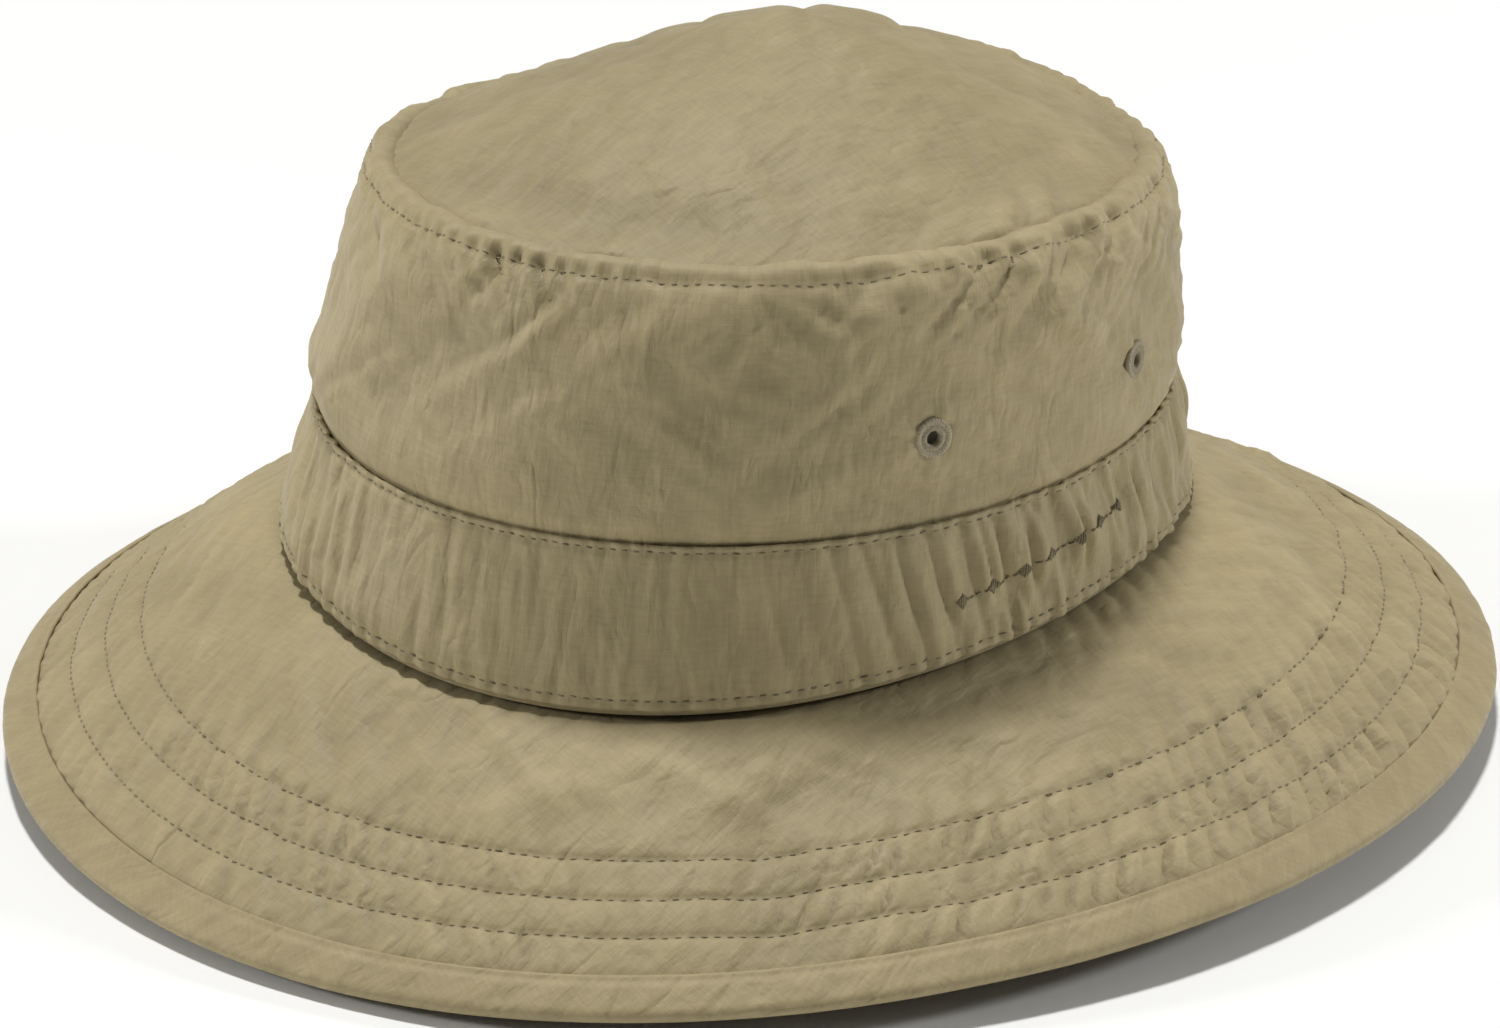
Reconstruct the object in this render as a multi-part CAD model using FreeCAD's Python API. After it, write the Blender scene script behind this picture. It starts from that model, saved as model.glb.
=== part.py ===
import FreeCAD, Part
import math
import os

# A cloth sun hat with an oval crown and a sloping, topstitched brim.
# +Z is up, the front of the hat faces -Y and the wearer's left is +X.
# The origin is on the resting surface, under the middle of the brim's edge.
# Every horizontal section is an ellipse, longer from front to back, and is named by its
# "reach": how far it stands outside the seam where the crown meets the brim.

# ---- driving dimensions, mm ----
SEAM_HALF_LENGTH = 101.0     # crown and brim seam, half of its front-to-back length
SEAM_HALF_WIDTH = 86.5       # the same seam, half of its width
BRIM_REACH = 63.0            # level distance from that seam to the folded edge
BRIM_DROP = 38.0             # how far the brim's upper face falls over that distance
BRIM_ARCH = 0.15             # share of the drop that comes late, so the brim is arched
CROWN_FORWARD = 3.5          # the crown stands this far ahead of the brim's middle
CROWN_RAKE = 0.06            # the crown leans back by this much of its height
TIP_SEAM_HEIGHT = 78.5       # height of the tip seam above the brim seam
TIP_SEAM_INSET = 16.5        # how far the tip seam lies inside the brim seam
DOME_RISE = 21.5             # height of the tip's dome above its seam
BAND_HEIGHT = 29.5           # outer band
BAND_START = 0.8             # its lower edge above the brim seam
SWEATBAND_HEIGHT = 28.0
SWEATBAND_START = 0.5

CLOTH = 0.5                  # one ply of the shell cloth, with its crinkle
BAND_CLOTH = 0.9             # the band's edge is folded under, so it counts double
INTERLINING = 0.7            # stiffener between the brim's plies
BINDING_CLOTH = 0.6
TAPE = 0.4
LABEL = 0.3
THREAD = 0.4                 # topstitching thread
GAP = 0.05                   # clearance between neighbouring plies

BINDING_REACH = 8.5          # level width of the binding
BINDING_FOOT = 1.5           # flat that the folded edge rests on
BRIM_ROWS = {"inner": 31.5, "middle": 23.5, "outer": 16.0}   # rows, from the edge inwards
TIP_ROW_DROP = 2.4           # stitch row below the tip seam
BAND_TOP_ROW_DROP = 1.8      # stitch row below the band's upper edge
BAND_BASE_ROW = 2.8          # stitch row above the brim seam
BINDING_ROW_INSET = 1.0      # stitch row from the binding's inner edge
INTERLINING_START = 3.0      # the stiffener stops short of the brim seam
EYELET_SPACING = 58.5        # between the two vents of one side, front to back
EYELET_HEIGHT = 46.5         # above the brim seam
EYELET_RADIUS = 4.0
EYELET_HOLE = 1.4
EYELET_WALL = 0.7            # thickness of the whipped barrel round the hole
EYELET_FLANGE = 0.6
MOTIF_COUNT = 7              # lozenges in the band's embroidered border
MOTIF_PITCH = 8.0
MOTIF_HALF = (2.8, 3.6)      # half width and half height of a lozenge
MOTIF_HEIGHT = 15.0          # above the brim seam
MOTIF_RAISE = 0.5
ELASTIC_WIDTH = 20.0
REAR_SPAN = 38.0             # the elastic lies behind this Y
TAPE_HALF_WIDTH = 6.0        # tape down the back seam
CARE_LABEL = (2.0, 24.0, 11.0, -24.0)   # lower edge, upper edge, half width, X of its middle
SIZE_LABEL = (6.0, 18.0, 7.0, 0.0)
FAR = 400.0                  # longer than the whole hat, for cutting pieces
DRILL = 10.0                 # longer than any wall is thick
LEVEL = 1e-6                 # two rings at one height have a flat face between them

# ---- worked out from them ----
BRIM_STACK = 2 * CLOTH + INTERLINING + 2 * GAP
SEAM_Z = BRIM_DROP + BRIM_STACK + BINDING_CLOTH + GAP
EDGE_REACH = BRIM_REACH - BINDING_CLOTH - GAP
# outer face of the crown wall, as (height above the brim seam, inset)
WALL = ((0.0, 0.0), (BAND_HEIGHT, 3.5), (50.0, 5.0), (66.0, 7.0), (74.0, 10.5),
        (TIP_SEAM_HEIGHT, TIP_SEAM_INSET))
DOME_STEPS = (1.0, 0.85, 0.65, 0.45, 0.25, 0.04)   # rings of the dome, as shares of its seam


# ---- ellipses and skins ----
def crown_centre(height):
    """Y of the crown's middle at a height above the brim seam."""
    return -CROWN_FORWARD + CROWN_RAKE * height


def brim_centre(reach):
    """Y of the brim's middle at a reach from the brim seam."""
    return -CROWN_FORWARD * (1.0 - reach / BRIM_REACH)


def ellipse(half_length, half_width, centre_y, z):
    """A level ellipse that starts at the centre back."""
    centre = FreeCAD.Vector(0, centre_y, z)
    back = FreeCAD.Vector(0, centre_y + half_length, z)
    side = FreeCAD.Vector(-half_width, centre_y, z)
    return Part.Wire([Part.Ellipse(back, side, centre).toShape()])


def crown_ring(height, inset, lift=0.0):
    """A ring of the crown; lift moves it straight up without moving its middle."""
    return ellipse(SEAM_HALF_LENGTH - inset, SEAM_HALF_WIDTH - inset,
                   crown_centre(height), SEAM_Z + height + lift)


def brim_surface(reach):
    """Z of the brim's upper face at a reach from the brim seam."""
    share = reach / BRIM_REACH
    return SEAM_Z - BRIM_DROP * share * (1.0 - BRIM_ARCH + BRIM_ARCH * share)


def brim_ring(reach, depth):
    """A ring of the brim, at a depth under its upper face."""
    return ellipse(SEAM_HALF_LENGTH + reach, SEAM_HALF_WIDTH + reach,
                   brim_centre(reach), brim_surface(reach) - depth)


def wall_inset(height):
    """Inset of the crown wall's outer face at a height above the brim seam."""
    for (low, low_inset), (high, high_inset) in zip(WALL, WALL[1:]):
        if height <= high:
            share = (height - low) / (high - low)
            return low_inset + share * (high_inset - low_inset)
    return WALL[-1][1]


def skin(rings):
    """The open surface through a row of rings."""
    return Part.makeLoft(rings, False, False).Faces


def closed(faces):
    """Sew faces into one solid that points outwards."""
    shell = Part.makeShell(faces)
    shell.sewShape()
    solid = Part.makeSolid(Part.makeShell(shell.Faces))
    if solid.Volume < 0:
        solid.reverse()
    if not solid.isValid():
        raise ValueError("a piece did not close")
    return solid


def tube(outer, inner):
    """A solid between two rows of rings, closed at both ends."""
    ends = skin([outer[0], inner[0]]) + skin([outer[-1], inner[-1]])
    return closed(skin(outer) + skin(inner) + ends)


def hoop(rings):
    """A solid whose section is the polygon that the rings pass through."""
    faces = []
    for first, second in zip(rings, rings[1:] + rings[:1]):
        if abs(first.BoundBox.ZMin - second.BoundBox.ZMin) < LEVEL:
            faces.append(Part.makeFace([first, second], "Part::FaceMakerBullseye"))
        else:
            faces += skin([first, second])
    return closed(faces)


def crown_sleeve(heights, outset, thickness):
    """A ply that follows the crown wall, with its outer face at an outset from it."""
    outer = [crown_ring(h, wall_inset(h) - outset) for h in heights]
    inner = [crown_ring(h, wall_inset(h) - outset + thickness) for h in heights]
    return tube(outer, inner)


def brim_ply(start, end, depth, thickness):
    """A ply that follows the brim, with its upper face at a depth under the surface."""
    reaches = [start + (end - start) * step / 4 for step in range(5)]
    return tube([brim_ring(r, depth) for r in reaches],
                [brim_ring(r, depth + thickness) for r in reaches])


def rear_part(solid, half_width, start_y=0.0):
    """The part of a ring-shaped piece that lies behind start_y."""
    box = Part.makeBox(2 * half_width, FAR, FAR,
                       FreeCAD.Vector(-half_width, start_y, -FAR / 2))
    return solid.common(box).Solids[0]


def wall_point(side, y, height, outset=0.0):
    """A point on the crown wall and the wall's outward direction there."""
    inset = wall_inset(height) - outset
    half_length = SEAM_HALF_LENGTH - inset
    half_width = SEAM_HALF_WIDTH - inset
    along = (y - crown_centre(height)) / half_length
    x = side * half_width * math.sqrt(1.0 - along * along)
    lean = (wall_inset(height + 1.0) - wall_inset(height - 1.0)) / 2.0
    out = FreeCAD.Vector(x / half_width ** 2, along / half_length, 0).normalize()
    out = (out + FreeCAD.Vector(0, 0, lean)).normalize()
    return FreeCAD.Vector(x, y, SEAM_Z + height), out


def facing(shape, point, out):
    """Stand a shape made about +Z on a point, with its top facing out and its Y uphill."""
    across = FreeCAD.Vector(0, 0, 1).cross(out).normalize()
    uphill = out.cross(across)
    turn = FreeCAD.Matrix(across.x, uphill.x, out.x, point.x,
                          across.y, uphill.y, out.y, point.y,
                          across.z, uphill.z, out.z, point.z,
                          0, 0, 0, 1)
    placed = shape.copy()
    placed.Placement = FreeCAD.Placement(turn)
    return placed


# ---- crown ----
def eyelet_places():
    """The four vents, as name, point on the wall and outward direction."""
    middle = crown_centre(EYELET_HEIGHT)
    places = []
    for side_name, side in (("left", 1), ("right", -1)):
        for end_name, end in (("front", -1), ("rear", 1)):
            y = middle + end * EYELET_SPACING / 2
            point, out = wall_point(side, y, EYELET_HEIGHT)
            places.append(("eyelet_%s_%s" % (side_name, end_name), point, out))
    return places


def crown_side():
    wall = crown_sleeve([height for height, _ in WALL], 0.0, CLOTH)
    drill = EYELET_HOLE + EYELET_WALL + GAP
    for _, point, out in eyelet_places():
        bore = Part.makeCylinder(drill, DRILL, FreeCAD.Vector(0, 0, -DRILL / 2))
        wall = wall.cut(facing(bore, point, out))
    return wall.Solids[0]


def dome_rings(drop):
    """Rings of the tip, drop below its outer face, rising as a parabola."""
    rings = []
    for share in DOME_STEPS:
        rise = DOME_RISE * (1.0 - share * share)
        half_length = (SEAM_HALF_LENGTH - TIP_SEAM_INSET) * share
        half_width = (SEAM_HALF_WIDTH - TIP_SEAM_INSET) * share
        centre_y = crown_centre(TIP_SEAM_HEIGHT + rise)
        z = SEAM_Z + TIP_SEAM_HEIGHT + GAP + CLOTH + rise - drop
        rings.append(ellipse(half_length, half_width, centre_y, z))
    return rings


def crown_tip():
    outer = dome_rings(0.0)
    inner = dome_rings(CLOTH)
    caps = [Part.Face(outer[-1]), Part.Face(inner[-1])]
    return closed(skin(outer) + skin(inner) + skin([outer[0], inner[0]]) + caps)


def crown_band():
    heights = [BAND_START, BAND_HEIGHT / 2, BAND_HEIGHT]
    return crown_sleeve(heights, BAND_CLOTH + GAP, BAND_CLOTH)


def eyelet(point, out):
    """A whipped vent: a barrel through the wall with a flange on each face."""
    barrel_radius = EYELET_HOLE + EYELET_WALL
    half = CLOTH + 2 * GAP
    barrel = Part.makeCylinder(barrel_radius, half + 2 * EYELET_FLANGE,
                               FreeCAD.Vector(0, 0, -half - EYELET_FLANGE))
    lower = Part.makeCylinder(EYELET_RADIUS, EYELET_FLANGE,
                              FreeCAD.Vector(0, 0, -half - EYELET_FLANGE))
    upper = Part.makeCylinder(EYELET_RADIUS, EYELET_FLANGE, FreeCAD.Vector(0, 0, 0))
    body = barrel.fuse([lower, upper]).removeSplitter()
    bore = Part.makeCylinder(EYELET_HOLE, DRILL, FreeCAD.Vector(0, 0, -DRILL / 2))
    lift = FreeCAD.Vector(out).multiply(GAP)
    return facing(body.cut(bore), point + lift, out).Solids[0]


def band_embroidery():
    """A plain border of raised lozenges on the left side of the band."""
    half_across, half_up = MOTIF_HALF
    corners = [FreeCAD.Vector(half_across, 0, 0), FreeCAD.Vector(0, half_up, 0),
               FreeCAD.Vector(-half_across, 0, 0), FreeCAD.Vector(0, -half_up, 0)]
    lozenge = Part.Face(Part.makePolygon(corners + corners[:1]))
    lozenge = lozenge.extrude(FreeCAD.Vector(0, 0, MOTIF_RAISE))
    outset = BAND_CLOTH + 2 * GAP
    middle = crown_centre(MOTIF_HEIGHT)
    pieces = []
    for index in range(MOTIF_COUNT):
        y = middle + (index - (MOTIF_COUNT - 1) / 2) * MOTIF_PITCH
        point, out = wall_point(1, y, MOTIF_HEIGHT, outset)
        pieces.append(facing(lozenge, point, out))
    return Part.makeCompound(pieces)


# ---- inside the crown ----
def sweatband():
    """A strip folded over at its top edge, open inside for the elastic."""
    outset = -CLOTH - GAP
    casing = 4 * TAPE + 2 * GAP
    low, high = SWEATBAND_START, SWEATBAND_HEIGHT
    section = [(low, 0.0), (high, 0.0), (high, casing), (low, casing),
               (low, casing - TAPE), (high - TAPE, casing - TAPE), (high - TAPE, TAPE),
               (low, TAPE)]
    return hoop([crown_ring(h, wall_inset(h) - outset + depth) for h, depth in section])


def rear_elastic():
    """The elastic that draws the back of the hat in, inside the sweatband's fold."""
    depth = CLOTH + GAP + TAPE + GAP
    low = (SWEATBAND_HEIGHT - ELASTIC_WIDTH) / 2
    ring = crown_sleeve([low, low + ELASTIC_WIDTH], -depth, 2 * TAPE)
    return rear_part(ring, 2 * SEAM_HALF_WIDTH, REAR_SPAN)


def tip_seam_tape():
    """Tape that covers the raw edges of the tip seam, under the shoulder."""
    heights = [WALL[-3][0], WALL[-2][0], TIP_SEAM_HEIGHT - GAP]
    return crown_sleeve(heights, -CLOTH - GAP, TAPE)


def back_seam_tape():
    """Tape down the back seam of the crown wall, from the tip tape to the sweatband."""
    heights = [SWEATBAND_HEIGHT + 1.0, WALL[-4][0], WALL[-3][0] - 1.0]
    return rear_part(crown_sleeve(heights, -CLOTH - GAP, TAPE), TAPE_HALF_WIDTH)


def label(low, high, half_width, centre_x):
    """A blank tab lying on the sweatband's inner face at the back."""
    depth = CLOTH + 4 * TAPE + 4 * GAP
    strip = crown_sleeve([low, high], -depth, LABEL)
    start = FreeCAD.Vector(centre_x - half_width, 0, 0)
    return strip.common(Part.makeBox(2 * half_width, FAR, FAR, start)).Solids[0]


# ---- brim ----
def brim_binding():
    """A strip folded round the brim's edge; its fold is flat where the hat rests."""
    start = BRIM_REACH - BINDING_REACH
    under = BRIM_STACK + GAP
    rings = [brim_ring(start, -BINDING_CLOTH - GAP),
             brim_ring(BRIM_REACH - BINDING_CLOTH, -BINDING_CLOTH - GAP),
             brim_ring(BRIM_REACH, 0.0),
             brim_ring(BRIM_REACH, under + BINDING_CLOTH)]
    foot = BRIM_REACH - BINDING_FOOT
    rings.append(ellipse(SEAM_HALF_LENGTH + foot, SEAM_HALF_WIDTH + foot,
                         brim_centre(foot), 0.0))
    rings += [brim_ring(foot - BINDING_FOOT, under + BINDING_CLOTH),
              brim_ring(start, under + BINDING_CLOTH),
              brim_ring(start, under),
              brim_ring(BRIM_REACH - BINDING_CLOTH, under),
              brim_ring(BRIM_REACH - BINDING_CLOTH, -GAP),
              brim_ring(start, -GAP)]
    return hoop(rings)


# ---- topstitching ----
def crown_thread(height, outset):
    """One row of thread round the crown, lying on the face at that outset."""
    return crown_sleeve([height, height + THREAD], outset + THREAD, THREAD)


def brim_thread(from_edge, proud):
    """One row of thread round the brim, this far in from its edge."""
    start = BRIM_REACH - from_edge
    return hoop([brim_ring(start, -proud), brim_ring(start, -proud - THREAD),
                 brim_ring(start + THREAD, -proud - THREAD),
                 brim_ring(start + THREAD, -proud)])


def build():
    """Every piece of the hat, by the name of its node."""
    on_band = BAND_CLOTH + 2 * GAP
    under_upper = CLOTH + GAP
    under_lining = under_upper + INTERLINING + GAP
    pieces = {
        "crown_tip": crown_tip(),
        "crown_side": crown_side(),
        "crown_band": crown_band(),
        "brim_upper": brim_ply(0.0, EDGE_REACH, 0.0, CLOTH),
        "brim_interlining": brim_ply(INTERLINING_START, EDGE_REACH - CLOTH,
                                     under_upper, INTERLINING),
        "brim_lower": brim_ply(0.0, EDGE_REACH, under_lining, CLOTH),
        "brim_binding": brim_binding(),
        "sweatband": sweatband(),
        "rear_elastic": rear_elastic(),
        "tip_seam_tape": tip_seam_tape(),
        "back_seam_tape": back_seam_tape(),
        "care_label": label(*CARE_LABEL),
        "size_label": label(*SIZE_LABEL),
        "band_embroidery": band_embroidery(),
        "topstitch_tip": crown_thread(TIP_SEAM_HEIGHT - TIP_ROW_DROP, GAP),
        "topstitch_band_top": crown_thread(BAND_HEIGHT - BAND_TOP_ROW_DROP, on_band),
        "topstitch_band_base": crown_thread(BAND_BASE_ROW, on_band),
        "topstitch_binding": brim_thread(BINDING_REACH - BINDING_ROW_INSET,
                                         BINDING_CLOTH + 2 * GAP),
    }
    for name, from_edge in BRIM_ROWS.items():
        pieces["topstitch_brim_" + name] = brim_thread(from_edge, GAP)
    for name, point, out in eyelet_places():
        pieces[name] = eyelet(point, out)
    return pieces


os.makedirs("parts", exist_ok=True)
for node, shape in build().items():
    shape.exportStep("parts/%s.step" % node)
    print("%-24s %8.1f mm3" % (node, shape.Volume))
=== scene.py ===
import math

import bpy
import numpy as np
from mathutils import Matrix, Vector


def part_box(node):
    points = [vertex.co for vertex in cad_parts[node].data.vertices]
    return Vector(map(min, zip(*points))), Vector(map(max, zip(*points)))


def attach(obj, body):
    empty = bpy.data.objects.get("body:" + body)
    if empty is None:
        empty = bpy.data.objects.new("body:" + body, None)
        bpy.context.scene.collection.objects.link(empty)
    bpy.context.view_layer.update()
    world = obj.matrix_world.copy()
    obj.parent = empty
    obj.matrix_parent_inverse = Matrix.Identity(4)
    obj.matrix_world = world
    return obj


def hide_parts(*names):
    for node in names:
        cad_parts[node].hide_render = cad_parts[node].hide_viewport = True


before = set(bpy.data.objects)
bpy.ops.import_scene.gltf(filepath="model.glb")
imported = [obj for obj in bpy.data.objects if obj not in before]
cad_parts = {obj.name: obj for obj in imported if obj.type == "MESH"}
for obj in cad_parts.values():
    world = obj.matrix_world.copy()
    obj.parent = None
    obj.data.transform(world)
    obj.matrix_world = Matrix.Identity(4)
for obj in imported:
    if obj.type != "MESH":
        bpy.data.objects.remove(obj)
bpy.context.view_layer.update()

bl_info = {
    "name": "Soft sun hat",
    "version": (1, 0, 0),
    "blender": (4, 5, 0),
    "location": "3D View > Sidebar > Sun Hat",
    "description": "Sews a crinkled nylon sun hat round its packed frame, piece by piece",
    "category": "Object",
}

MM = 0.001

# ---- the frame's own sizes, in millimetres ----


def span(node):
    """Lowest and highest corner of a node of the frame, in millimetres."""
    low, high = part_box(node)
    return low / MM, high / MM


WALL_LOW, WALL_HIGH = span("crown_side")
TIP_LOW, TIP_HIGH = span("crown_tip")
EDGE_LOW, EDGE_HIGH = span("brim_binding")
PLY_LOW, PLY_HIGH = span("brim_upper")
SEAM_Z = WALL_LOW.z                                  # the crown and brim seam
HALF_WIDTH = WALL_HIGH.x
HALF_LENGTH = (WALL_HIGH.y - WALL_LOW.y) / 2
CROWN_Y = (WALL_HIGH.y + WALL_LOW.y) / 2
WALL_HEIGHT = WALL_HIGH.z - SEAM_Z
DOME_RISE = TIP_HIGH.z - WALL_HIGH.z
TIP_HALF_WIDTH = TIP_HIGH.x
TIP_HALF_LENGTH = (TIP_HIGH.y - TIP_LOW.y) / 2
BAND_HEIGHT = span("crown_band")[1].z - SEAM_Z
SWEATBAND_HEIGHT = span("sweatband")[1].z - SEAM_Z
REACH = EDGE_HIGH.x - HALF_WIDTH                     # level width of the brim
BRIM_DROP = SEAM_Z - PLY_LOW.z
SEAM_ROUND = math.pi * (HALF_LENGTH + HALF_WIDTH)    # length of the crown and brim seam
TIP_ROW = span("topstitch_tip")[0].z - SEAM_Z
BAND_TOP_ROW = span("topstitch_band_top")[0].z - SEAM_Z
BAND_BASE_ROW = span("topstitch_band_base")[0].z - SEAM_Z
BRIM_ROWS = [span("topstitch_brim_" + row)[1].x - HALF_WIDTH for row in ("inner", "middle", "outer")]
BINDING_ROW = span("topstitch_binding")[1].x - HALF_WIDTH
BINDING_WIDTH = REACH - BINDING_ROW + 1.0

# ---- plies, in millimetres ----
CLOTH = 0.5
BAND_CLOTH = 0.8
INTERLINING = 0.7
BINDING_CLOTH = 0.6
TAPE = 0.4
LABEL = 0.3
GAP = 0.05
BRIM_ARCH = 0.15        # share of the brim's drop that comes late
SHOULDER_INSET = 9.4    # how far the wall rounds in at the tip seam
SHOULDER_POWER = 15.0
DOME_POWER = 1.35       # below 2 the tip is pointed rather than domed
FLOOR_LIFT = 4.9        # the settled brim touches the floor at its lowest stretch only


class SunHatCloth(bpy.types.PropertyGroup):
    """Colours and threads of the cloth."""

    shell: bpy.props.StringProperty(
        name="Shell", description="Colour of the crown and brim cloth, as sRGB hex", default="b1a27a")
    # painted shade: this darker copy of the shell colour is mixed into the cloth in the creases of its relief
    shade: bpy.props.StringProperty(
        name="Shade", description="Colour of the same cloth in its creases, as sRGB hex", default="827554")
    binding: bpy.props.StringProperty(
        name="Binding", description="Colour of the bound edge, as sRGB hex", default="b0a078")
    thread: bpy.props.StringProperty(
        name="Thread", description="Colour of the topstitching thread, as sRGB hex", default="8b8060")
    whipping: bpy.props.StringProperty(
        name="Whipping", description="Colour of the vents' thread, as sRGB hex", default="b3a78a")
    lining: bpy.props.StringProperty(
        name="Sweatband", description="Colour of the sweatband, as sRGB hex", default="7e745a")
    yarn: bpy.props.FloatProperty(
        name="Yarn spacing", description="Spacing of the weave as drawn", default=0.0005,
        min=0.0002, max=0.003, unit="LENGTH", precision=5)
    stitch: bpy.props.FloatProperty(
        name="Stitch", description="Pitch of the lockstitch", default=0.00245,
        min=0.001, max=0.006, unit="LENGTH", precision=5)
    thread_width: bpy.props.FloatProperty(
        name="Thread width", description="Thickness of the sewing thread", default=0.0004,
        min=0.0001, max=0.001, unit="LENGTH", precision=5)


class SunHatDrape(bpy.types.PropertyGroup):
    """How the soft cloth has settled, gathered and creased."""

    seam_tilt: bpy.props.FloatVectorProperty(
        name="Seam", description="Rise of the brim seam in mm: front, ends, left and diagonal", size=4,
        default=(0.0, -2.3, -1.6, -4.1))
    band_tilt: bpy.props.FloatVectorProperty(
        name="Band top", description="Rise of the band's upper edge in mm: front, ends, left and diagonal",
        size=4, default=(-0.4, 0.0, -1.3, -0.6))
    tip_tilt: bpy.props.FloatVectorProperty(
        name="Tip seam", description="Rise of the tip seam in mm: front, ends, left and diagonal", size=4,
        default=(0.6, 0.0, -0.6, 0.0))
    edge_tilt: bpy.props.FloatVectorProperty(
        name="Brim edge", description="Rise of the brim's edge in mm: front, ends, left and diagonal", size=4,
        default=(0.0, -0.3, 3.0, -2.3))
    tip_back: bpy.props.FloatProperty(
        name="Lean", description="How far the tip has moved back, in mm", default=4.0)
    edge_back: bpy.props.FloatProperty(
        name="Brim back", description="How far the brim's edge has moved back, in mm", default=3.0)
    band_draw: bpy.props.FloatVectorProperty(
        name="Band draw", description="How far the band's top is drawn in, in mm: all round and at the ends",
        size=2, default=(-2.4, -1.3))
    tip_spread: bpy.props.FloatVectorProperty(
        name="Tip spread", description="How far the tip seam has spread, in mm: all round and at the ends",
        size=2, default=(1.9, -2.0))
    slack: bpy.props.FloatProperty(
        name="Slack", description="How far the crown's shoulder has fallen in at its slackest, in mm",
        default=4.0)
    sag: bpy.props.FloatProperty(
        name="Sag", description="How far the brim's edge has sunk, in mm", default=1.6)
    gathers: bpy.props.FloatProperty(
        name="Gathers", description="Depth of the band's gathers, in mm", default=2.1, min=0.0, max=4.0)
    puckers: bpy.props.FloatProperty(
        name="Puckers", description="Depth of the puckers along the stitching, in mm", default=0.95,
        min=0.0, max=3.0)
    folds: bpy.props.FloatProperty(
        name="Folds", description="Depth of the broad soft folds, in mm", default=1.9, min=0.0, max=6.0)
    crinkle: bpy.props.FloatProperty(
        name="Crinkle", description="Depth of the cloth's fine crinkle, in mm", default=0.10, min=0.0, max=0.5)


class SunHatStage(bpy.types.PropertyGroup):
    """Floor, lights and camera."""

    azimuth: bpy.props.FloatProperty(
        name="Azimuth", description="Camera's angle from the hat's front towards its left",
        default=math.radians(45.8), subtype="ANGLE")
    elevation: bpy.props.FloatProperty(
        name="Elevation", description="Camera's angle above the horizon",
        default=math.radians(22.9), subtype="ANGLE")
    distance: bpy.props.FloatProperty(
        name="Distance", description="Camera's distance from the middle of the seam", default=1.0,
        unit="LENGTH")
    lens: bpy.props.FloatProperty(
        name="Lens", description="Focal length on a 36 mm sensor, in mm", default=114.4)
    roll: bpy.props.FloatProperty(
        name="Roll", description="Turn of the camera about its own line of sight",
        default=math.radians(0.9), subtype="ANGLE")
    floor: bpy.props.StringProperty(
        name="Floor", description="Colour of the floor, as sRGB hex", default="f6f6f4")


def cloth():
    return bpy.context.scene.sun_hat_cloth


def drape():
    return bpy.context.scene.sun_hat_drape


def stage():
    return bpy.context.scene.sun_hat_stage


# ---- random but repeatable waves in the cloth ----


def ease(share):
    return share * share * (3.0 - 2.0 * share)


def step(value, low, high):
    """0 below low, 1 above high, and smooth between."""
    return ease(np.clip((value - low) / (high - low), 0.0, 1.0))


def waves(seed, turn, across, cells, size):
    """Soft random waves from -1 to 1: so many cells to a turn of the hat, of that size across in mm."""
    draw = np.random.default_rng(seed).uniform(-1.0, 1.0, (61, cells))
    along = np.asarray(turn / (2 * math.pi)) % 1.0 * cells
    up = np.asarray(across / size) + 30.0
    column, row = np.floor(along).astype(int), np.floor(up).astype(int)
    right, above = ease(along - column), ease(up - row)

    def corner(i, j):
        return draw[(row + j) % 61, (column + i) % cells]

    low = corner(0, 0) * (1 - right) + corner(1, 0) * right
    high = corner(0, 1) * (1 - right) + corner(1, 1) * right
    return low * (1 - above) + high * above


def ridges(seed, turn, across, cells, size):
    """Rounded ridges with sharp valleys between them, about 0 on average."""
    return 1.6 * np.abs(waves(seed, turn, across, cells, size)) - 0.55


def pleats(seed, turn, across, count, size):
    """Pleats so many to a turn, uneven in spacing and depth: rounded crests and sharp valleys."""
    phase = turn * count + 3.2 * waves(seed, turn, across, max(count // 6, 3), size)
    depth = 0.55 + 0.45 * waves(seed + 1, turn, across, max(count // 4, 3), size)
    return depth * (2.2 * np.abs(np.sin(phase / 2)) ** 0.85 - 1.45)


def near(turn, degrees, width):
    """1 at an angle round the hat, falling smoothly to 0 over a width in degrees."""
    away = (turn - math.radians(degrees) + math.pi) % (2 * math.pi) - math.pi
    return np.exp(-(away / math.radians(width)) ** 2)


def groove(distance, width):
    return np.exp(-(distance / width) ** 2)


def crease(turn, height, start, end, width):
    """A straight soft fold from one (angle, height) to another: 1 on its line, 0 a few widths away."""
    scale = SEAM_ROUND / 360.0
    at = np.stack([np.degrees(turn) * scale + 0 * height, height + 0 * turn], -1)
    first = np.array([start[0] * scale, start[1]])
    last = np.array([end[0] * scale, end[1]])
    line = last - first
    share = np.clip((at - first) @ line / (line @ line), 0.0, 1.0)
    away = np.linalg.norm(at - first - share[..., None] * line, axis=-1)
    return groove(away, width) * np.sin(math.pi * (0.12 + 0.76 * share))


# ---- the settled shape, in millimetres; an angle of 0 is the front and 90 degrees the left ----


def tilt(turn, rise):
    front, ends, left, diagonal = rise
    return (front * np.cos(turn) + ends * np.cos(2 * turn)
            + left * np.sin(turn) + diagonal * np.sin(2 * turn))


def ring(turn, outset, along, back, z):
    """A point of an oval: outset from the seam, with along more at the two ends than at the sides."""
    spread = outset + along * np.cos(2 * turn)
    return np.stack([(HALF_WIDTH + spread) * np.sin(turn),
                     CROWN_Y + back - (HALF_LENGTH + spread) * np.cos(turn), z + 0 * turn], -1)


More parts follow.
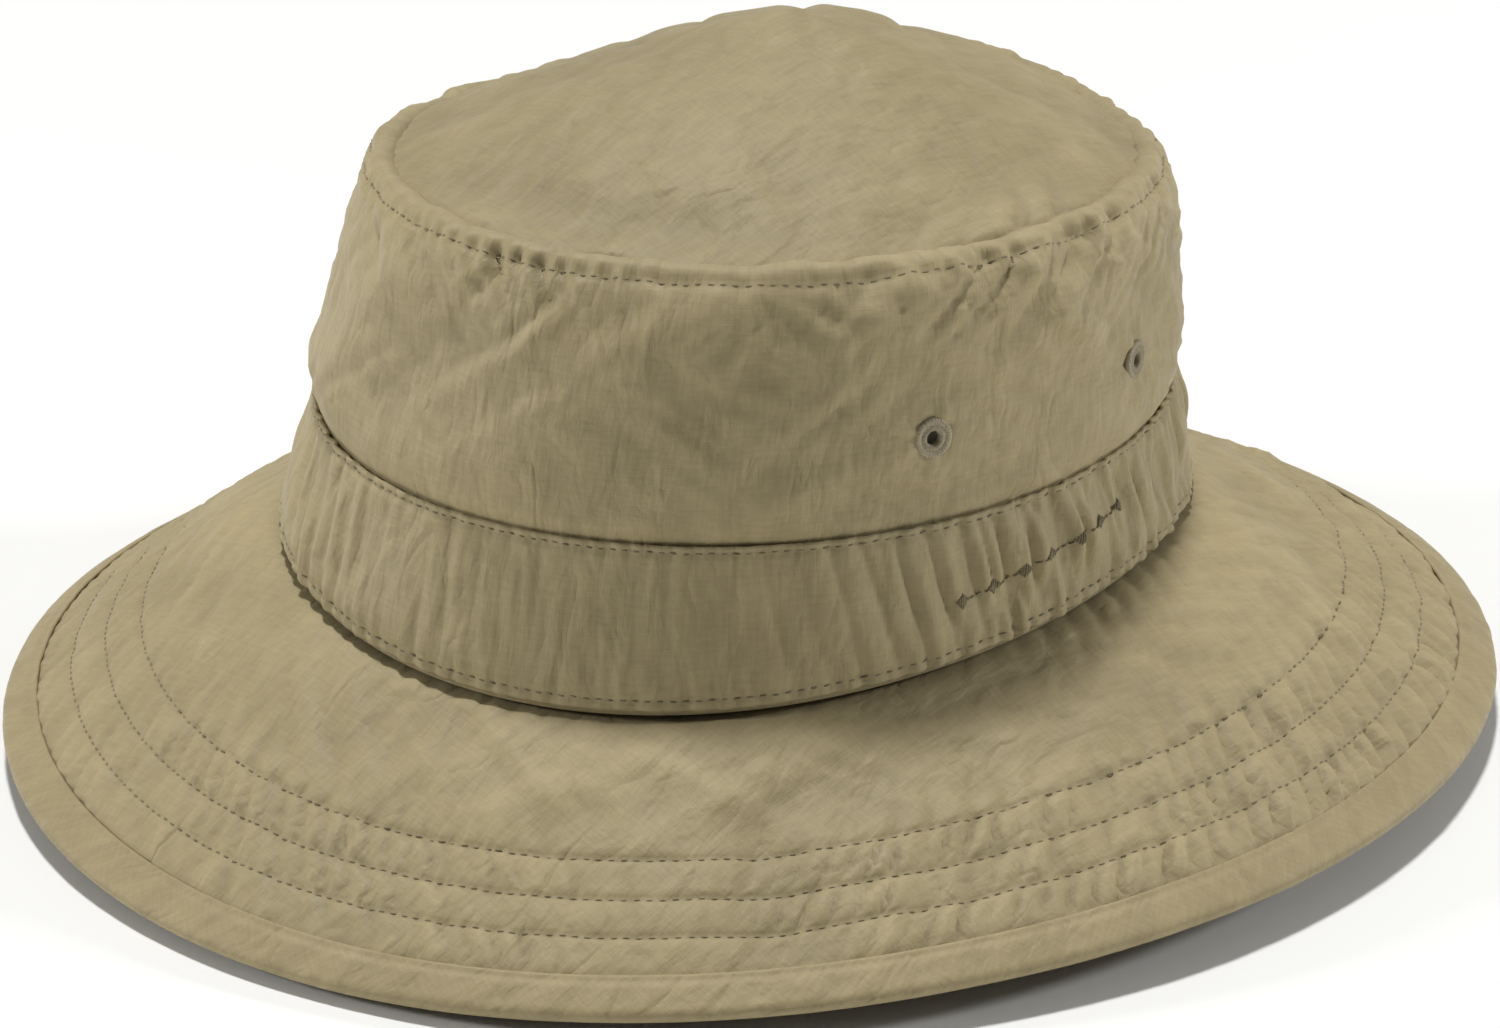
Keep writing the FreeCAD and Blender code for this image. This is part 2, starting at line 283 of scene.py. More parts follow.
def crown_base(turn, height):
    """The crown wall, by angle and height above the brim seam."""
    settled = drape()
    share = np.clip(height / WALL_HEIGHT, 0.0, 1.3)
    inset = 0.115 * height * (1.0 - 0.25 * share) + SHOULDER_INSET * share ** SHOULDER_POWER
    low = step(height, 0.0, BAND_HEIGHT)
    high = step(height, BAND_HEIGHT, WALL_HEIGHT)
    band, tip = low * (1 - high), low * high
    rim = step(height, WALL_HEIGHT - 9.0, WALL_HEIGHT)
    outset = band * settled.band_draw[0] + rim * settled.tip_spread[0] - inset
    slack = near(turn, 140, 42) * (1 - 0.15 * rim) + 0.7 * near(turn, -46, 40) * (1 - rim)
    outset = outset - settled.slack * slack * (0.25 * step(height, 8.0, 34.0) + 0.75 * step(height, 40.0, 66.0))
    along = band * settled.band_draw[1] + tip * settled.tip_spread[1]
    lift = ((1 - low) * tilt(turn, settled.seam_tilt) + band * tilt(turn, settled.band_tilt)
            + tip * tilt(turn, settled.tip_tilt))
    lift = lift - high * (5.0 * near(turn, -88, 34) + 6.0 * near(turn, 164, 36))
    lift = lift - (1 - low) * 3.5 * near(turn, -62, 26)
    back = 0.06 * height + settled.tip_back * high
    return ring(turn, outset, along, back, SEAM_Z + FLOOR_LIFT + height + lift)


def brim_base(turn, reach):
    """The brim's upper face, by angle and level distance from the seam."""
    settled = drape()
    share = reach / REACH
    drop = settled.sag * share + BRIM_DROP * share * (1.0 - BRIM_ARCH + BRIM_ARCH * share)
    scallop = -1.3 * np.cos(3 * turn) - 0.9 * np.sin(3 * turn) + 3.6 * near(turn, -116, 40)
    lift = (1 - share) * (tilt(turn, settled.seam_tilt) - 3.5 * near(turn, -62, 26))
    lift = lift + share * (tilt(turn, settled.edge_tilt) + scallop)
    back = (settled.edge_back - CROWN_Y) * share
    spread = reach - 1.0 * share * np.sin(2 * turn)
    return ring(turn, spread, 1.4 * share, back, SEAM_Z + FLOOR_LIFT - drop + lift)


def tip_base(x, y):
    """The tip, by plan position from its own middle, as shares of its half width and half length."""
    settled = drape()
    share = np.minimum(np.hypot(x, y), 1.2)
    turn = np.arctan2(x, -y)
    rim = crown_base(turn, WALL_HEIGHT + 0 * turn)
    middle_y = CROWN_Y + 0.06 * WALL_HEIGHT + settled.tip_back
    z = rim[..., 2] * share + (1 - share) * (SEAM_Z + FLOOR_LIFT + WALL_HEIGHT)
    z = z + (DOME_RISE + 4.0) * (1.0 - share ** DOME_POWER)
    lean = 1.5 * (1.0 - share * share)
    return np.stack([rim[..., 0] * share, middle_y + lean + (rim[..., 1] - middle_y) * share, z], -1)


def normal_of(base, first, second, delta):
    """Outward unit normal of a base surface at its two coordinates."""
    along = base(first + delta[0], second) - base(first - delta[0], second)
    across = base(first, second + delta[1]) - base(first, second - delta[1])
    out = np.cross(along, across)
    return out / np.maximum(np.linalg.norm(out, axis=-1, keepdims=True), 1e-12)


# ---- relief of each ply: how far its face stands off the base, in millimetres ----


def crinkle(seed, turn, across):
    depth = drape().crinkle
    fine = waves(seed, turn + across * 0.002, across, 190, 2.6)
    long = waves(seed + 1, turn - across * 0.001, across, 120, 9.0)
    return depth * (fine + 1.2 * long)


def wall_relief(turn, height):
    settled = drape()
    from_tip = np.maximum(TIP_ROW - height, 0.0)
    fade = step(height, BAND_HEIGHT - 2.0, BAND_HEIGHT + 5.0)
    strong = 0.45 + 1.2 * near(turn, 92, 28) + 1.0 * near(turn, 10, 20) + 0.5 * near(turn, 230, 60)
    slant = np.where(np.sin(turn - 0.7) > 0, 0.010, -0.010) * from_tip
    short = pleats(11, turn + slant, from_tip, 104, 22.0) * np.exp(-from_tip / 7.0)
    long = ridges(12, turn + 1.6 * slant, from_tip, 58, 34.0) * np.exp(-from_tip / 13.0)
    relief = settled.puckers * strong * (0.75 * short + 1.7 * long) * step(WALL_HEIGHT - height, 0.0, 2.0)
    slow = (waves(13, turn - height * 0.014, height, 16, 34.0)
            + 0.6 * waves(14, turn + height * 0.010, height, 34, 20.0))
    calm = 1.0 - 0.45 * near(turn, 10, 50)
    relief += 0.7 * settled.folds * slow * fade * calm * (0.35 + 0.65 * step(from_tip, 0.0, 14.0))
    rumple = ridges(16, turn - height * 0.016, height, 54, 17.0) * (0.5 + waves(17, turn, height, 9, 30.0))
    rumple += 0.55 * ridges(18, turn + height * 0.020, height, 96, 10.0)
    relief += 0.40 * settled.folds * rumple * fade * (calm - 0.1 + near(turn, 85, 45))
    for start, end, width, depth in WALL_FOLDS:
        relief += 0.8 * settled.folds * depth * crease(turn, height, start, end, width) * fade
    relief += 1.2 * fade * groove(height - 37.0, 9.0) * (0.5 + near(turn, -45, 35))
    relief += crinkle(15, turn, height) * fade
    relief += 0.45 * groove(height - WALL_HEIGHT + 0.7, 0.8) - 0.5 * groove(height - TIP_ROW, 0.8)
    relief -= 2.6 * step(height, WALL_HEIGHT - 0.1, WALL_HEIGHT + 1.4)
    relief += 1.1 * step(height, BAND_HEIGHT - 0.4, BAND_HEIGHT + 2.2)
    for eyelet_turn, eyelet_height in eyelet_places().values():
        relief += vent_drag(turn, height, eyelet_turn, eyelet_height)
    return relief - 0.5 * groove((np.abs(turn) - math.pi) * HALF_WIDTH, 0.8) * fade


WALL_FOLDS = [   # start and end as (degrees round, height), width in mm, depth
    ((25, 75), (11, 54), 3.4, 0.75),
    ((23, 75), (14, 60), 2.0, -0.8),
    ((9, 75), (1, 62), 2.4, 0.5),
    ((12, 75), (5, 65), 2.0, -0.5),
    ((42, 66), (5, 34), 8.0, 1.0),
    ((52, 60), (22, 32), 7.0, -0.9),
    ((74, 47), (40, 33), 7.0, 0.7),
    ((-6, 74), (-24, 40), 6.0, 0.8),
    ((5, 60), (-15, 34), 7.0, -0.7),
    ((84, 74), (98, 52), 4.0, 0.7),
    ((104, 72), (120, 44), 5.0, -0.7),
    ((128, 70), (118, 34), 6.0, 0.9),
    ((-60, 72), (-75, 36), 7.0, 0.9),
    ((-100, 66), (-82, 34), 8.0, -0.8),
    ((-140, 74), (-120, 38), 7.0, 0.9),
    ((170, 72), (150, 36), 7.0, -0.8),
]


def vent_drag(turn, height, middle_turn, middle_height):
    """The small dish and the radial drag lines round a whipped vent."""
    along = ((turn - middle_turn + math.pi) % (2 * math.pi) - math.pi) * 90.0
    up = height - middle_height
    away = np.hypot(along, up)
    spoke = np.arctan2(up, along)
    lines = np.cos(5 * spoke + 1.0) * 0.28 + np.cos(9 * spoke) * 0.12
    return lines * np.exp(-((away - 4.5) / 4.5) ** 2) - 0.35 * groove(away, 4.2)


def band_relief(turn, height):
    settled = drape()
    share = np.clip(height / BAND_HEIGHT, 0.0, 1.0)
    strong = (0.16 + 0.95 * near(turn, 98, 27) + 0.7 * near(turn, 160, 45) + 0.7 * near(turn, 220, 60)
              + 0.42 * near(turn, -12, 24))
    bow = 0.30 + 0.70 * np.sin(math.pi * np.clip(share, 0.04, 0.96)) ** 0.7
    lean = turn + 0.0022 * (height - 15.0) * (1.0 + waves(20, turn, height, 12, 60.0))
    gather = 0.62 * pleats(21, lean, height, 86, 46.0) + 0.60 * ridges(22, lean, height, 170, 18.0)
    relief = settled.gathers * strong * bow * gather
    slow = waves(23, turn + height * 0.02, height, 22, 34.0)
    relief += 0.55 * settled.folds * slow * np.sin(math.pi * share)
    top = np.exp(-np.maximum(BAND_TOP_ROW - height, 0.0) / 5.0)
    foot = np.exp(-np.maximum(height - BAND_BASE_ROW, 0.0) / 4.0)
    relief += 0.5 * settled.puckers * (0.3 + strong) * (top + foot) * pleats(24, turn, height, 130, 18.0)
    relief += crinkle(26, turn, height)
    relief -= 0.5 * groove(height - BAND_TOP_ROW, 0.7) + 0.5 * groove(height - BAND_BASE_ROW, 0.7)
    relief -= 1.0 * step(height, BAND_HEIGHT - 0.9, BAND_HEIGHT + 0.3)
    relief -= 0.6 * (1.0 - step(height, 0.5, 1.7))
    relief -= 0.5 * groove((np.abs(turn) - math.pi) * HALF_WIDTH, 0.8)
    return relief + GAP + BAND_CLOTH + 0.5


def brim_relief(turn, reach):
    settled = drape()
    side = np.tanh((np.degrees(turn) - 44.0) / 8.0) * np.where(turn < -2.2, -1.0, 1.0)
    rough = 0.34 + 1.15 * near(turn, 96, 58) + 0.6 * near(turn, 112, 30) + 0.55 * near(turn, 2, 32) + 0.6 * near(turn, 215, 80)
    rough *= 1.0 - 0.75 * near(turn, 43, 9)
    relief = -0.7 * groove(reach - BINDING_ROW - 0.4, 1.3)
    edges = [*BRIM_ROWS, BINDING_ROW]
    for bay, (low, high) in enumerate(zip(edges, edges[1:])):
        share = (reach - low) / (high - low)
        bow = np.sin(math.pi * np.clip(share, 0.0, 1.0)) ** 0.75
        lean = turn + side * 0.0056 * (reach - low)
        relief += settled.puckers * rough * bow * (
            1.05 * pleats(31 + 2 * bay, lean, reach, 160, 26.0)
            + 0.65 * ridges(41 + bay, lean, reach, 240, 11.0))
    through = turn + side * 0.0048 * reach
    past_rows = step(reach, BRIM_ROWS[0] - 10.0, BRIM_ROWS[0] + 1) * (
        1 - step(reach, BINDING_ROW - 3, BINDING_ROW))
    relief += 0.7 * settled.puckers * rough * past_rows * ridges(45, through, reach, 104, 26.0)
    inside = np.maximum(BRIM_ROWS[0] - reach, 0.0)
    relief += (0.6 * settled.puckers * rough * pleats(47, through, reach, 120, 30.0)
               * np.exp(-inside / 5.0) * (reach < BRIM_ROWS[0]))
    for row in BRIM_ROWS:
        relief -= 0.55 * groove(reach - row, 0.8)
    free = np.sin(math.pi * np.clip(reach / BRIM_ROWS[0], 0.0, 1.0)) ** 0.8
    slow = (waves(51, turn + 0.012 * reach, reach, 19, 40.0)
            + 0.5 * waves(52, turn + 0.016 * reach, reach, 44, 26.0))
    relief += 0.75 * settled.folds * free * slow
    relief += 0.42 * settled.folds * free * ridges(55, turn - 0.012 * reach, reach, 84, 17.0)
    tucks = 0.25 + 1.9 * near(turn, 110, 16) + 0.5 * near(turn, 190, 50) + 0.5 * near(turn, 10, 25)
    relief += 0.8 * settled.puckers * tucks * pleats(53, turn + 0.006 * reach, reach, 92, 28.0) * np.exp(
        -reach / 5.5)
    relief -= 1.8 * near(turn, 50.5, 3.5) * step(reach, 12.0, 36.0) * (1 - step(reach, 50.0, REACH))
    relief += crinkle(57, turn, reach)
    relief -= 0.5 * groove((np.abs(turn) - math.pi) * (HALF_WIDTH + reach), 0.8)
    relief *= step(reach, -1.0, 2.2) * (1 - 0.85 * step(reach, BINDING_ROW + 1.0, REACH))
    return relief - 1.3 * (1 - step(reach, 0.6, 2.6))


def tip_relief(x, y):
    settled = drape()
    share = np.hypot(x, y)
    turn = np.arctan2(x, -y)
    inward = np.maximum((1.0 - share) * 78.0, 0.0)
    strong = 0.25 + 1.1 * near(turn, 92, 24) + 0.35 * near(turn, 10, 30) + 0.6 * near(turn, 200, 50)
    slant = 0.010 * inward
    short = pleats(61, turn - slant, inward, 90, 22.0) * np.exp(-inward / 5.0)
    long = ridges(63, turn - slant, inward, 44, 30.0) * np.exp(-inward / 15.0)
    relief = settled.puckers * strong * (0.7 * short + 1.8 * long) * step(inward, 0.0, 2.0)
    width, length = x * TIP_HALF_WIDTH, y * TIP_HALF_LENGTH
    along, across = 0.76 * width - 0.65 * length, 0.65 * width + 0.76 * length
    slow = waves(64, along * 0.018, across, 6, 26.0) + 0.4 * waves(65, along * 0.03, across, 11, 14.0)
    relief += 0.8 * settled.folds * slow * step(inward, 2.0, 18.0)
    rumple = ridges(68, across * 0.035, along, 17, 24.0) * (0.4 + waves(69, across * 0.02, along, 7, 30.0))
    relief += 0.6 * settled.folds * rumple * step(inward, 1.0, 10.0)
    relief -= 1.6 * groove(inward - 9.0, 6.5) * near(turn, 22, 36)
    relief += settled.crinkle * (waves(66, width * 0.02, length, 110, 2.8)
                                 + 1.2 * waves(67, along * 0.012, across, 60, 4.0))
    for degrees, depth in ((-46, 1.6), (139, 1.8), (-120, 1.2)):
        relief -= depth * near(turn, degrees, 9) * step(share, 0.25, 0.6) * (1 - 0.5 * step(share, 0.9, 1.0))
    relief -= 0.25 * groove(inward - 1.0, 0.8)
    return relief - 0.15 * step(share, 0.985, 1.0)


def ply(base, relief, depth, delta):
    """A face of a ply as one function of its two coordinates, depth below the relief of its base."""
    def face(first, second):
        lift = relief(first, second) - depth
        return base(first, second) + lift[..., None] * normal_of(base, first, second, delta)
    return face


ROUND_STEP = (1e-3, 0.05)
PLAN_STEP = (1e-3, 1e-3)


def wall_face(depth=0.0):
    return ply(crown_base, wall_relief, depth, ROUND_STEP)


def band_face(depth=0.0):
    return ply(crown_base, band_relief, depth, ROUND_STEP)


def inner_face(depth):
    """A smooth ply inside the crown."""
    return ply(crown_base, lambda turn, height: 0.0 * turn + 0.0 * height, depth, ROUND_STEP)


def brim_face(depth=0.0):
    # reach is measured outwards, so its step is turned round to keep the normal upward
    return ply(brim_base, brim_relief, depth, (1e-3, -0.05))


# ---- sewing room: grids, threads and finishing ----


def deselect():
    bpy.ops.object.select_all(action="DESELECT")


def flat_sheet(name, columns, rows):
    """A unit grid of cloth laid flat, as it was cut."""
    deselect()
    bpy.ops.mesh.primitive_grid_add(x_subdivisions=columns, y_subdivisions=rows, size=1.0, calc_uvs=True)
    piece = bpy.context.active_object
    piece.name = piece.data.name = name
    return piece


def flat_coordinates(piece):
    """The grid's two coordinates at each vertex, from 0 to 1."""
    flat = np.empty(len(piece.data.vertices) * 3)
    piece.data.vertices.foreach_get("co", flat)
    flat = flat.reshape(-1, 3)
    return flat[:, 0] + 0.5, flat[:, 1] + 0.5


def lay(piece, points, cut, relief):
    """Move the grid's vertices to their places in mm, and keep the flat cut in its UV map in metres."""
    mesh = piece.data
    mesh.vertices.foreach_set("co", (points * MM).ravel())
    corners = np.empty(len(mesh.loops), int)
    mesh.loops.foreach_get("vertex_index", corners)
    mesh.uv_layers.active.name = "cut"
    mesh.uv_layers.active.data.foreach_set("uv", (cut[corners] * MM).ravel())
    # the relief height also drives the painted shade in the cloth's colour: darker low, paler high
    height = mesh.attributes.new("relief", "FLOAT", "POINT")
    height.data.foreach_set("value", np.asarray(relief, np.float32))
    mesh.update()


def sew_shut(piece, thickness, closed=True):
    """Join the sheet's two ends where they meet, and give it its thickness inwards."""
    deselect()
    piece.select_set(True)
    bpy.context.view_layer.objects.active = piece
    if closed:
        bpy.ops.object.mode_set(mode="EDIT")
        bpy.ops.mesh.select_all(action="SELECT")
        bpy.ops.mesh.remove_doubles(threshold=1e-6)
        bpy.ops.object.mode_set(mode="OBJECT")
    if thickness:
        bpy.ops.object.modifier_add(type="SOLIDIFY")
        ply_modifier = piece.modifiers[-1]
        ply_modifier.thickness = thickness * MM
        ply_modifier.offset = -1.0
        ply_modifier.use_even_offset = False
        bpy.ops.object.modifier_apply(modifier=ply_modifier.name)
    bpy.ops.object.shade_smooth()


def closer(levels, rows):
    """Levels with more of them near each row of stitches, so that the cloth can dip into it."""
    near_rows = [row + offset for row in rows for offset in (-1.4, -0.7, 0.0, 0.7, 1.4)]
    kept = [level for level in levels if all(abs(level - extra) > 0.45 for extra in near_rows)]
    return sorted(kept + near_rows)


def wrapped(name, face, relief, levels, columns, thickness, turns=(-math.pi, math.pi)):
    """A sheet wrapped round the hat through the given heights or reaches, its weave along its length."""
    piece = flat_sheet(name, columns, len(levels) - 1)
    along, across = flat_coordinates(piece)
    turn = turns[0] + (turns[1] - turns[0]) * along
    level = np.interp(across, np.linspace(0.0, 1.0, len(levels)), levels)
    cut = np.stack([along * SEAM_ROUND * (turns[1] - turns[0]) / (2 * math.pi),
                    np.abs(level - levels[0])], -1)
    lay(piece, face(turn, level), cut, relief(turn, level))
    sew_shut(piece, thickness, closed=turns[1] - turns[0] > 6.28)
    return piece


def finish(piece, material, slot, *nodes):
    """Give a piece its material and its place in the frame."""
    piece.data.materials.clear()
    piece.data.materials.append(material)
    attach(piece, "root")
    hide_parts(*nodes)
    return piece


def mesh_piece(name, vertices, faces):
    """A new mesh object from vertices in mm."""
    mesh = bpy.data.meshes.new(name)
    mesh.from_pydata((vertices * MM).tolist(), [], faces)
    mesh.validate()
    piece = bpy.data.objects.new(name, mesh)
    bpy.context.scene.collection.objects.link(piece)
    mesh.shade_smooth()
    return piece


def thread_template(sides=6):
    """One stitch about the X axis: from -1 to 1 long, radius 1, dipping at both ends."""
    stations = [(-1.0, 0.55, -1.5), (-0.72, 0.9, -0.35), (0.0, 1.0, 0.25), (0.72, 0.9, -0.35), (1.0, 0.55, -1.5)]
    points, faces = [], []
    for x, radius, z in stations:
        for side in range(sides):
            angle = 2 * math.pi * side / sides
            points.append((x, radius * math.sin(angle), z + radius * math.cos(angle)))
    for station in range(len(stations) - 1):
        for side in range(sides):
            first, second = station * sides + side, station * sides + (side + 1) % sides
            faces.append((first, first + sides, second + sides, second))
    last = (len(stations) - 1) * sides
    faces.append(tuple(range(sides)))
    faces.append(tuple(last + side for side in reversed(range(sides))))
    return np.array(points), faces


def stitches(starts, ends, normals, radius):
    """Vertices and faces of separate stitches, each from its start to its end, in mm."""
    template, template_faces = thread_template()
    along = ends - starts
    half = np.linalg.norm(along, axis=1, keepdims=True) / 2
    along = along / (2 * half)
    side = np.cross(normals, along)
    side /= np.linalg.norm(side, axis=1, keepdims=True)
    up = np.cross(along, side)
    middle = (starts + ends) / 2
    points = (middle[:, None] + (along * half)[:, None] * template[None, :, :1]
              + radius * (side[:, None] * template[None, :, 1:2] + up[:, None] * template[None, :, 2:]))
    count = len(template)
    faces = [tuple(index + corner for corner in face)
             for index in range(0, count * len(starts), count) for face in template_faces]
    return points.reshape(-1, 3), faces


def row_of_stitches(face, base, level, length, delta, side=1.0, phase=0.0):
    """Lockstitches round one level of a ply, on its outer or, with side -1, its inner face."""
    pitch = cloth().stitch / MM
    radius = cloth().thread_width / MM / 2
    count = round(length / pitch)
    jitter = np.random.default_rng(count).uniform(-0.04, 0.04, count)
    start = -math.pi + 2 * math.pi * (np.arange(count) + phase + jitter) / count
    end = start + 2 * math.pi * 0.62 / count
    wander = 0.10 * np.random.default_rng(count + 1).uniform(-1, 1, count)
    levels = level + wander
    normals = side * normal_of(base, (start + end) / 2, levels, delta)
    return stitches(face(start, levels) + normals * radius * 0.4,
                    face(end, levels) + normals * radius * 0.4, normals, radius)


def joined(groups):
    """Several groups of vertices and faces as one."""
    points, faces, count = [], [], 0
    for group_points, group_faces in groups:
        points.append(group_points)
        faces += [tuple(corner + count for corner in face) for face in group_faces]
        count += len(group_points)
    return np.concatenate(points), faces


# ---- materials ----


def linear(hex_colour):
    """An sRGB hex colour as a linear RGBA tuple."""
    parts = [int(hex_colour[i:i + 2], 16) / 255 for i in (0, 2, 4)]
    return tuple(p / 12.92 if p <= 0.04045 else ((p + 0.055) / 1.055) ** 2.4 for p in parts) + (1.0,)


def add(tree, kind, links=(), **settings):
    """Add a node with its settings; links pairs an input with a value or with another node's output."""
    new = tree.nodes.new(kind)
    for name, value in settings.items():
        setattr(new, name, value)
    for name, value in links:
        if isinstance(value, bpy.types.NodeSocket):
            tree.links.new(value, new.inputs[name])
        else:
            new.inputs[name].default_value = value
    return new


def new_material(name):
    material = bpy.data.materials.new(name)
    material.use_nodes = True
    material.node_tree.nodes.clear()
    return material, material.node_tree


def finish_material(tree, shader):
    add(tree, "ShaderNodeOutputMaterial", [("Surface", shader.outputs["BSDF"])])


def ramp(tree, value, low, high, first, last):
    """A value stretched from one range to another."""
    return add(tree, "ShaderNodeMapRange", [("Value", value), ("From Min", low), ("From Max", high),
                                            ("To Min", first), ("To Max", last)]).outputs["Result"]


def crinkled_nylon(name, light, dark, relief_depth):
    """Crinkled plain-weave nylon: washed and tumbled, so it is matt and finely creased, with a weak sheen at
    grazing angles.
    Its colour carries painted shade: darker in the creases of its relief and fine crinkle, paler on their ridges."""
    material, tree = new_material(name)
    cut = add(tree, "ShaderNodeUVMap", uv_map="cut").outputs["UV"]
    relief = add(tree, "ShaderNodeAttribute", attribute_name="relief").outputs["Fac"]
    yarn = cloth().yarn
    # slub streaks: long along the warp, a yarn or two wide
    warp = add(tree, "ShaderNodeMapping", [("Vector", cut), ("Scale", (1 / (1.6 * yarn), 1 / (14 * yarn), 1))])
    weft = add(tree, "ShaderNodeMapping", [("Vector", cut), ("Scale", (1 / (9 * yarn), 1 / (1.5 * yarn), 1))])
    streaks = [add(tree, "ShaderNodeTexNoise", [("Vector", m.outputs["Vector"]), ("Scale", 1.0), ("Detail", 2.0),
                                                ("Roughness", 0.55)]).outputs["Fac"] for m in (warp, weft)]
    slub = add(tree, "ShaderNodeMath", [(0, streaks[0]), (1, streaks[1])], operation="ADD").outputs[0]
    # the crinkle, in creases 2 to 5 mm apart
    skewed = add(tree, "ShaderNodeMapping", [("Vector", cut), ("Rotation", (0, 0, 0.5)), ("Scale", (1.0, 0.5, 1))])
    wrinkle = add(tree, "ShaderNodeTexNoise", [("Vector", skewed.outputs["Vector"]), ("Scale", 170.0),
                                               ("Detail", 4.0), ("Roughness", 0.5),
                                               ("Distortion", 0.4)]).outputs["Fac"]
    # the weave itself is 0.3 mm in the real cloth and is drawn coarser so that it shows
    threads = [add(tree, "ShaderNodeTexWave", [("Vector", cut), ("Scale", 0.314 / yarn), ("Distortion", 1.5),
                                               ("Detail", 2.0)],
                   wave_type="BANDS", bands_direction=axis).outputs["Fac"] for axis in ("X", "Y")]
    weave = add(tree, "ShaderNodeMath", [(0, threads[0]), (1, threads[1])], operation="MULTIPLY").outputs[0]
    patches = add(tree, "ShaderNodeTexNoise", [("Vector", cut), ("Scale", 22.0), ("Detail", 3.0)]).outputs["Fac"]
    # sharp creases a centimetre or so apart, in patches
    folded = add(tree, "ShaderNodeTexNoise", [("Vector", skewed.outputs["Vector"]), ("Scale", 105.0),
                                              ("Detail", 2.0), ("Roughness", 0.5),
                                              ("Distortion", 0.5)]).outputs["Fac"]
    off_line = add(tree, "ShaderNodeMath", [(0, folded), (1, 0.5)], operation="SUBTRACT").outputs[0]
    crease_line = add(tree, "ShaderNodeMath", [(0, off_line)], operation="ABSOLUTE").outputs[0]
    sharp = ramp(tree, crease_line, 0.0, 0.12, 0.0, 1.0)
    # painted shade: the colour runs from the shade colour where the relief is low to the light colour where it is
    # high
    relief_shading = ramp(tree, relief, -relief_depth, relief_depth, 0.50, 0.78)
    mottle_and_relief_shade = add(tree, "ShaderNodeMath", [(0, relief_shading), (1, ramp(tree, patches, 0.3, 0.7, -0.06, 0.06))],
                  operation="ADD").outputs[0]
    # painted shade of the fine crinkle: the crinkle bump's own noise, lighter on its crests and darker in its
    # hollows
    crinkle_shade_and_mottle = add(tree, "ShaderNodeMath", [(0, mottle_and_relief_shade), (1, ramp(tree, wrinkle, 0.3, 0.7, -0.12, 0.12))],
                 operation="ADD").outputs[0]
    shade_mottle_and_streaks = add(tree, "ShaderNodeMath", [(0, crinkle_shade_and_mottle), (1, ramp(tree, slub, 0.6, 1.4, -0.16, 0.16))],
                   operation="ADD", use_clamp=True).outputs[0]
    # the mix of the light and shade colours carries the painted shade, with random mottle and slub streaks
    colour = add(tree, "ShaderNodeMix", [("Factor", shade_mottle_and_streaks), (6, linear(dark)), (7, linear(light))],
                 data_type="RGBA").outputs[2]
    fine = add(tree, "ShaderNodeBump", [("Height", weave), ("Strength", 0.25), ("Distance", 0.00006)])
    slubs = add(tree, "ShaderNodeBump", [("Height", slub), ("Strength", 0.4), ("Distance", 0.00016),
                                         ("Normal", fine.outputs["Normal"])])
    creased = add(tree, "ShaderNodeBump", [("Height", wrinkle), ("Strength", 0.7), ("Distance", 0.0012),
                                           ("Normal", slubs.outputs["Normal"])])
    crisp = add(tree, "ShaderNodeBump", [("Height", sharp), ("Strength", 0.55), ("Distance", 0.00035),
                                         ("Normal", creased.outputs["Normal"])])
    rough = ramp(tree, patches, 0.3, 0.7, 0.55, 0.70)
    shader = add(tree, "ShaderNodeBsdfPrincipled", [
        ("Base Color", colour), ("Roughness", rough), ("Normal", crisp.outputs["Normal"]),
        ("Specular IOR Level", 0.42), ("Sheen Weight", 0.10), ("Sheen Roughness", 0.45)])
    finish_material(tree, shader)
    return material


def spun_thread(name, colour):
    """Spun polyester sewing thread: two plies twisted, with a soft lustre along the twist."""
    material, tree = new_material(name)
    place = add(tree, "ShaderNodeTexCoord").outputs["Object"]
    twist = add(tree, "ShaderNodeTexNoise", [("Vector", place), ("Scale", 2600.0), ("Detail", 2.0)]).outputs["Fac"]
    slow = add(tree, "ShaderNodeTexNoise", [("Vector", place), ("Scale", 60.0), ("Detail", 2.0)]).outputs["Fac"]
    dark = tuple(0.62 * c for c in linear(colour)[:3]) + (1.0,)
    mixed = add(tree, "ShaderNodeMath", [(0, twist), (1, slow)], operation="MULTIPLY").outputs[0]
    tone = add(tree, "ShaderNodeMix", [("Factor", ramp(tree, mixed, 0.12, 0.36, 0.0, 1.0)), (6, dark),
                                       (7, linear(colour))], data_type="RGBA").outputs[2]
    bump = add(tree, "ShaderNodeBump", [("Height", twist), ("Strength", 0.5), ("Distance", 0.0001)])
    shader = add(tree, "ShaderNodeBsdfPrincipled", [
        ("Base Color", tone), ("Roughness", 0.55), ("Normal", bump.outputs["Normal"]),
        ("Sheen Weight", 0.2), ("Sheen Roughness", 0.4)])
    finish_material(tree, shader)
    return material


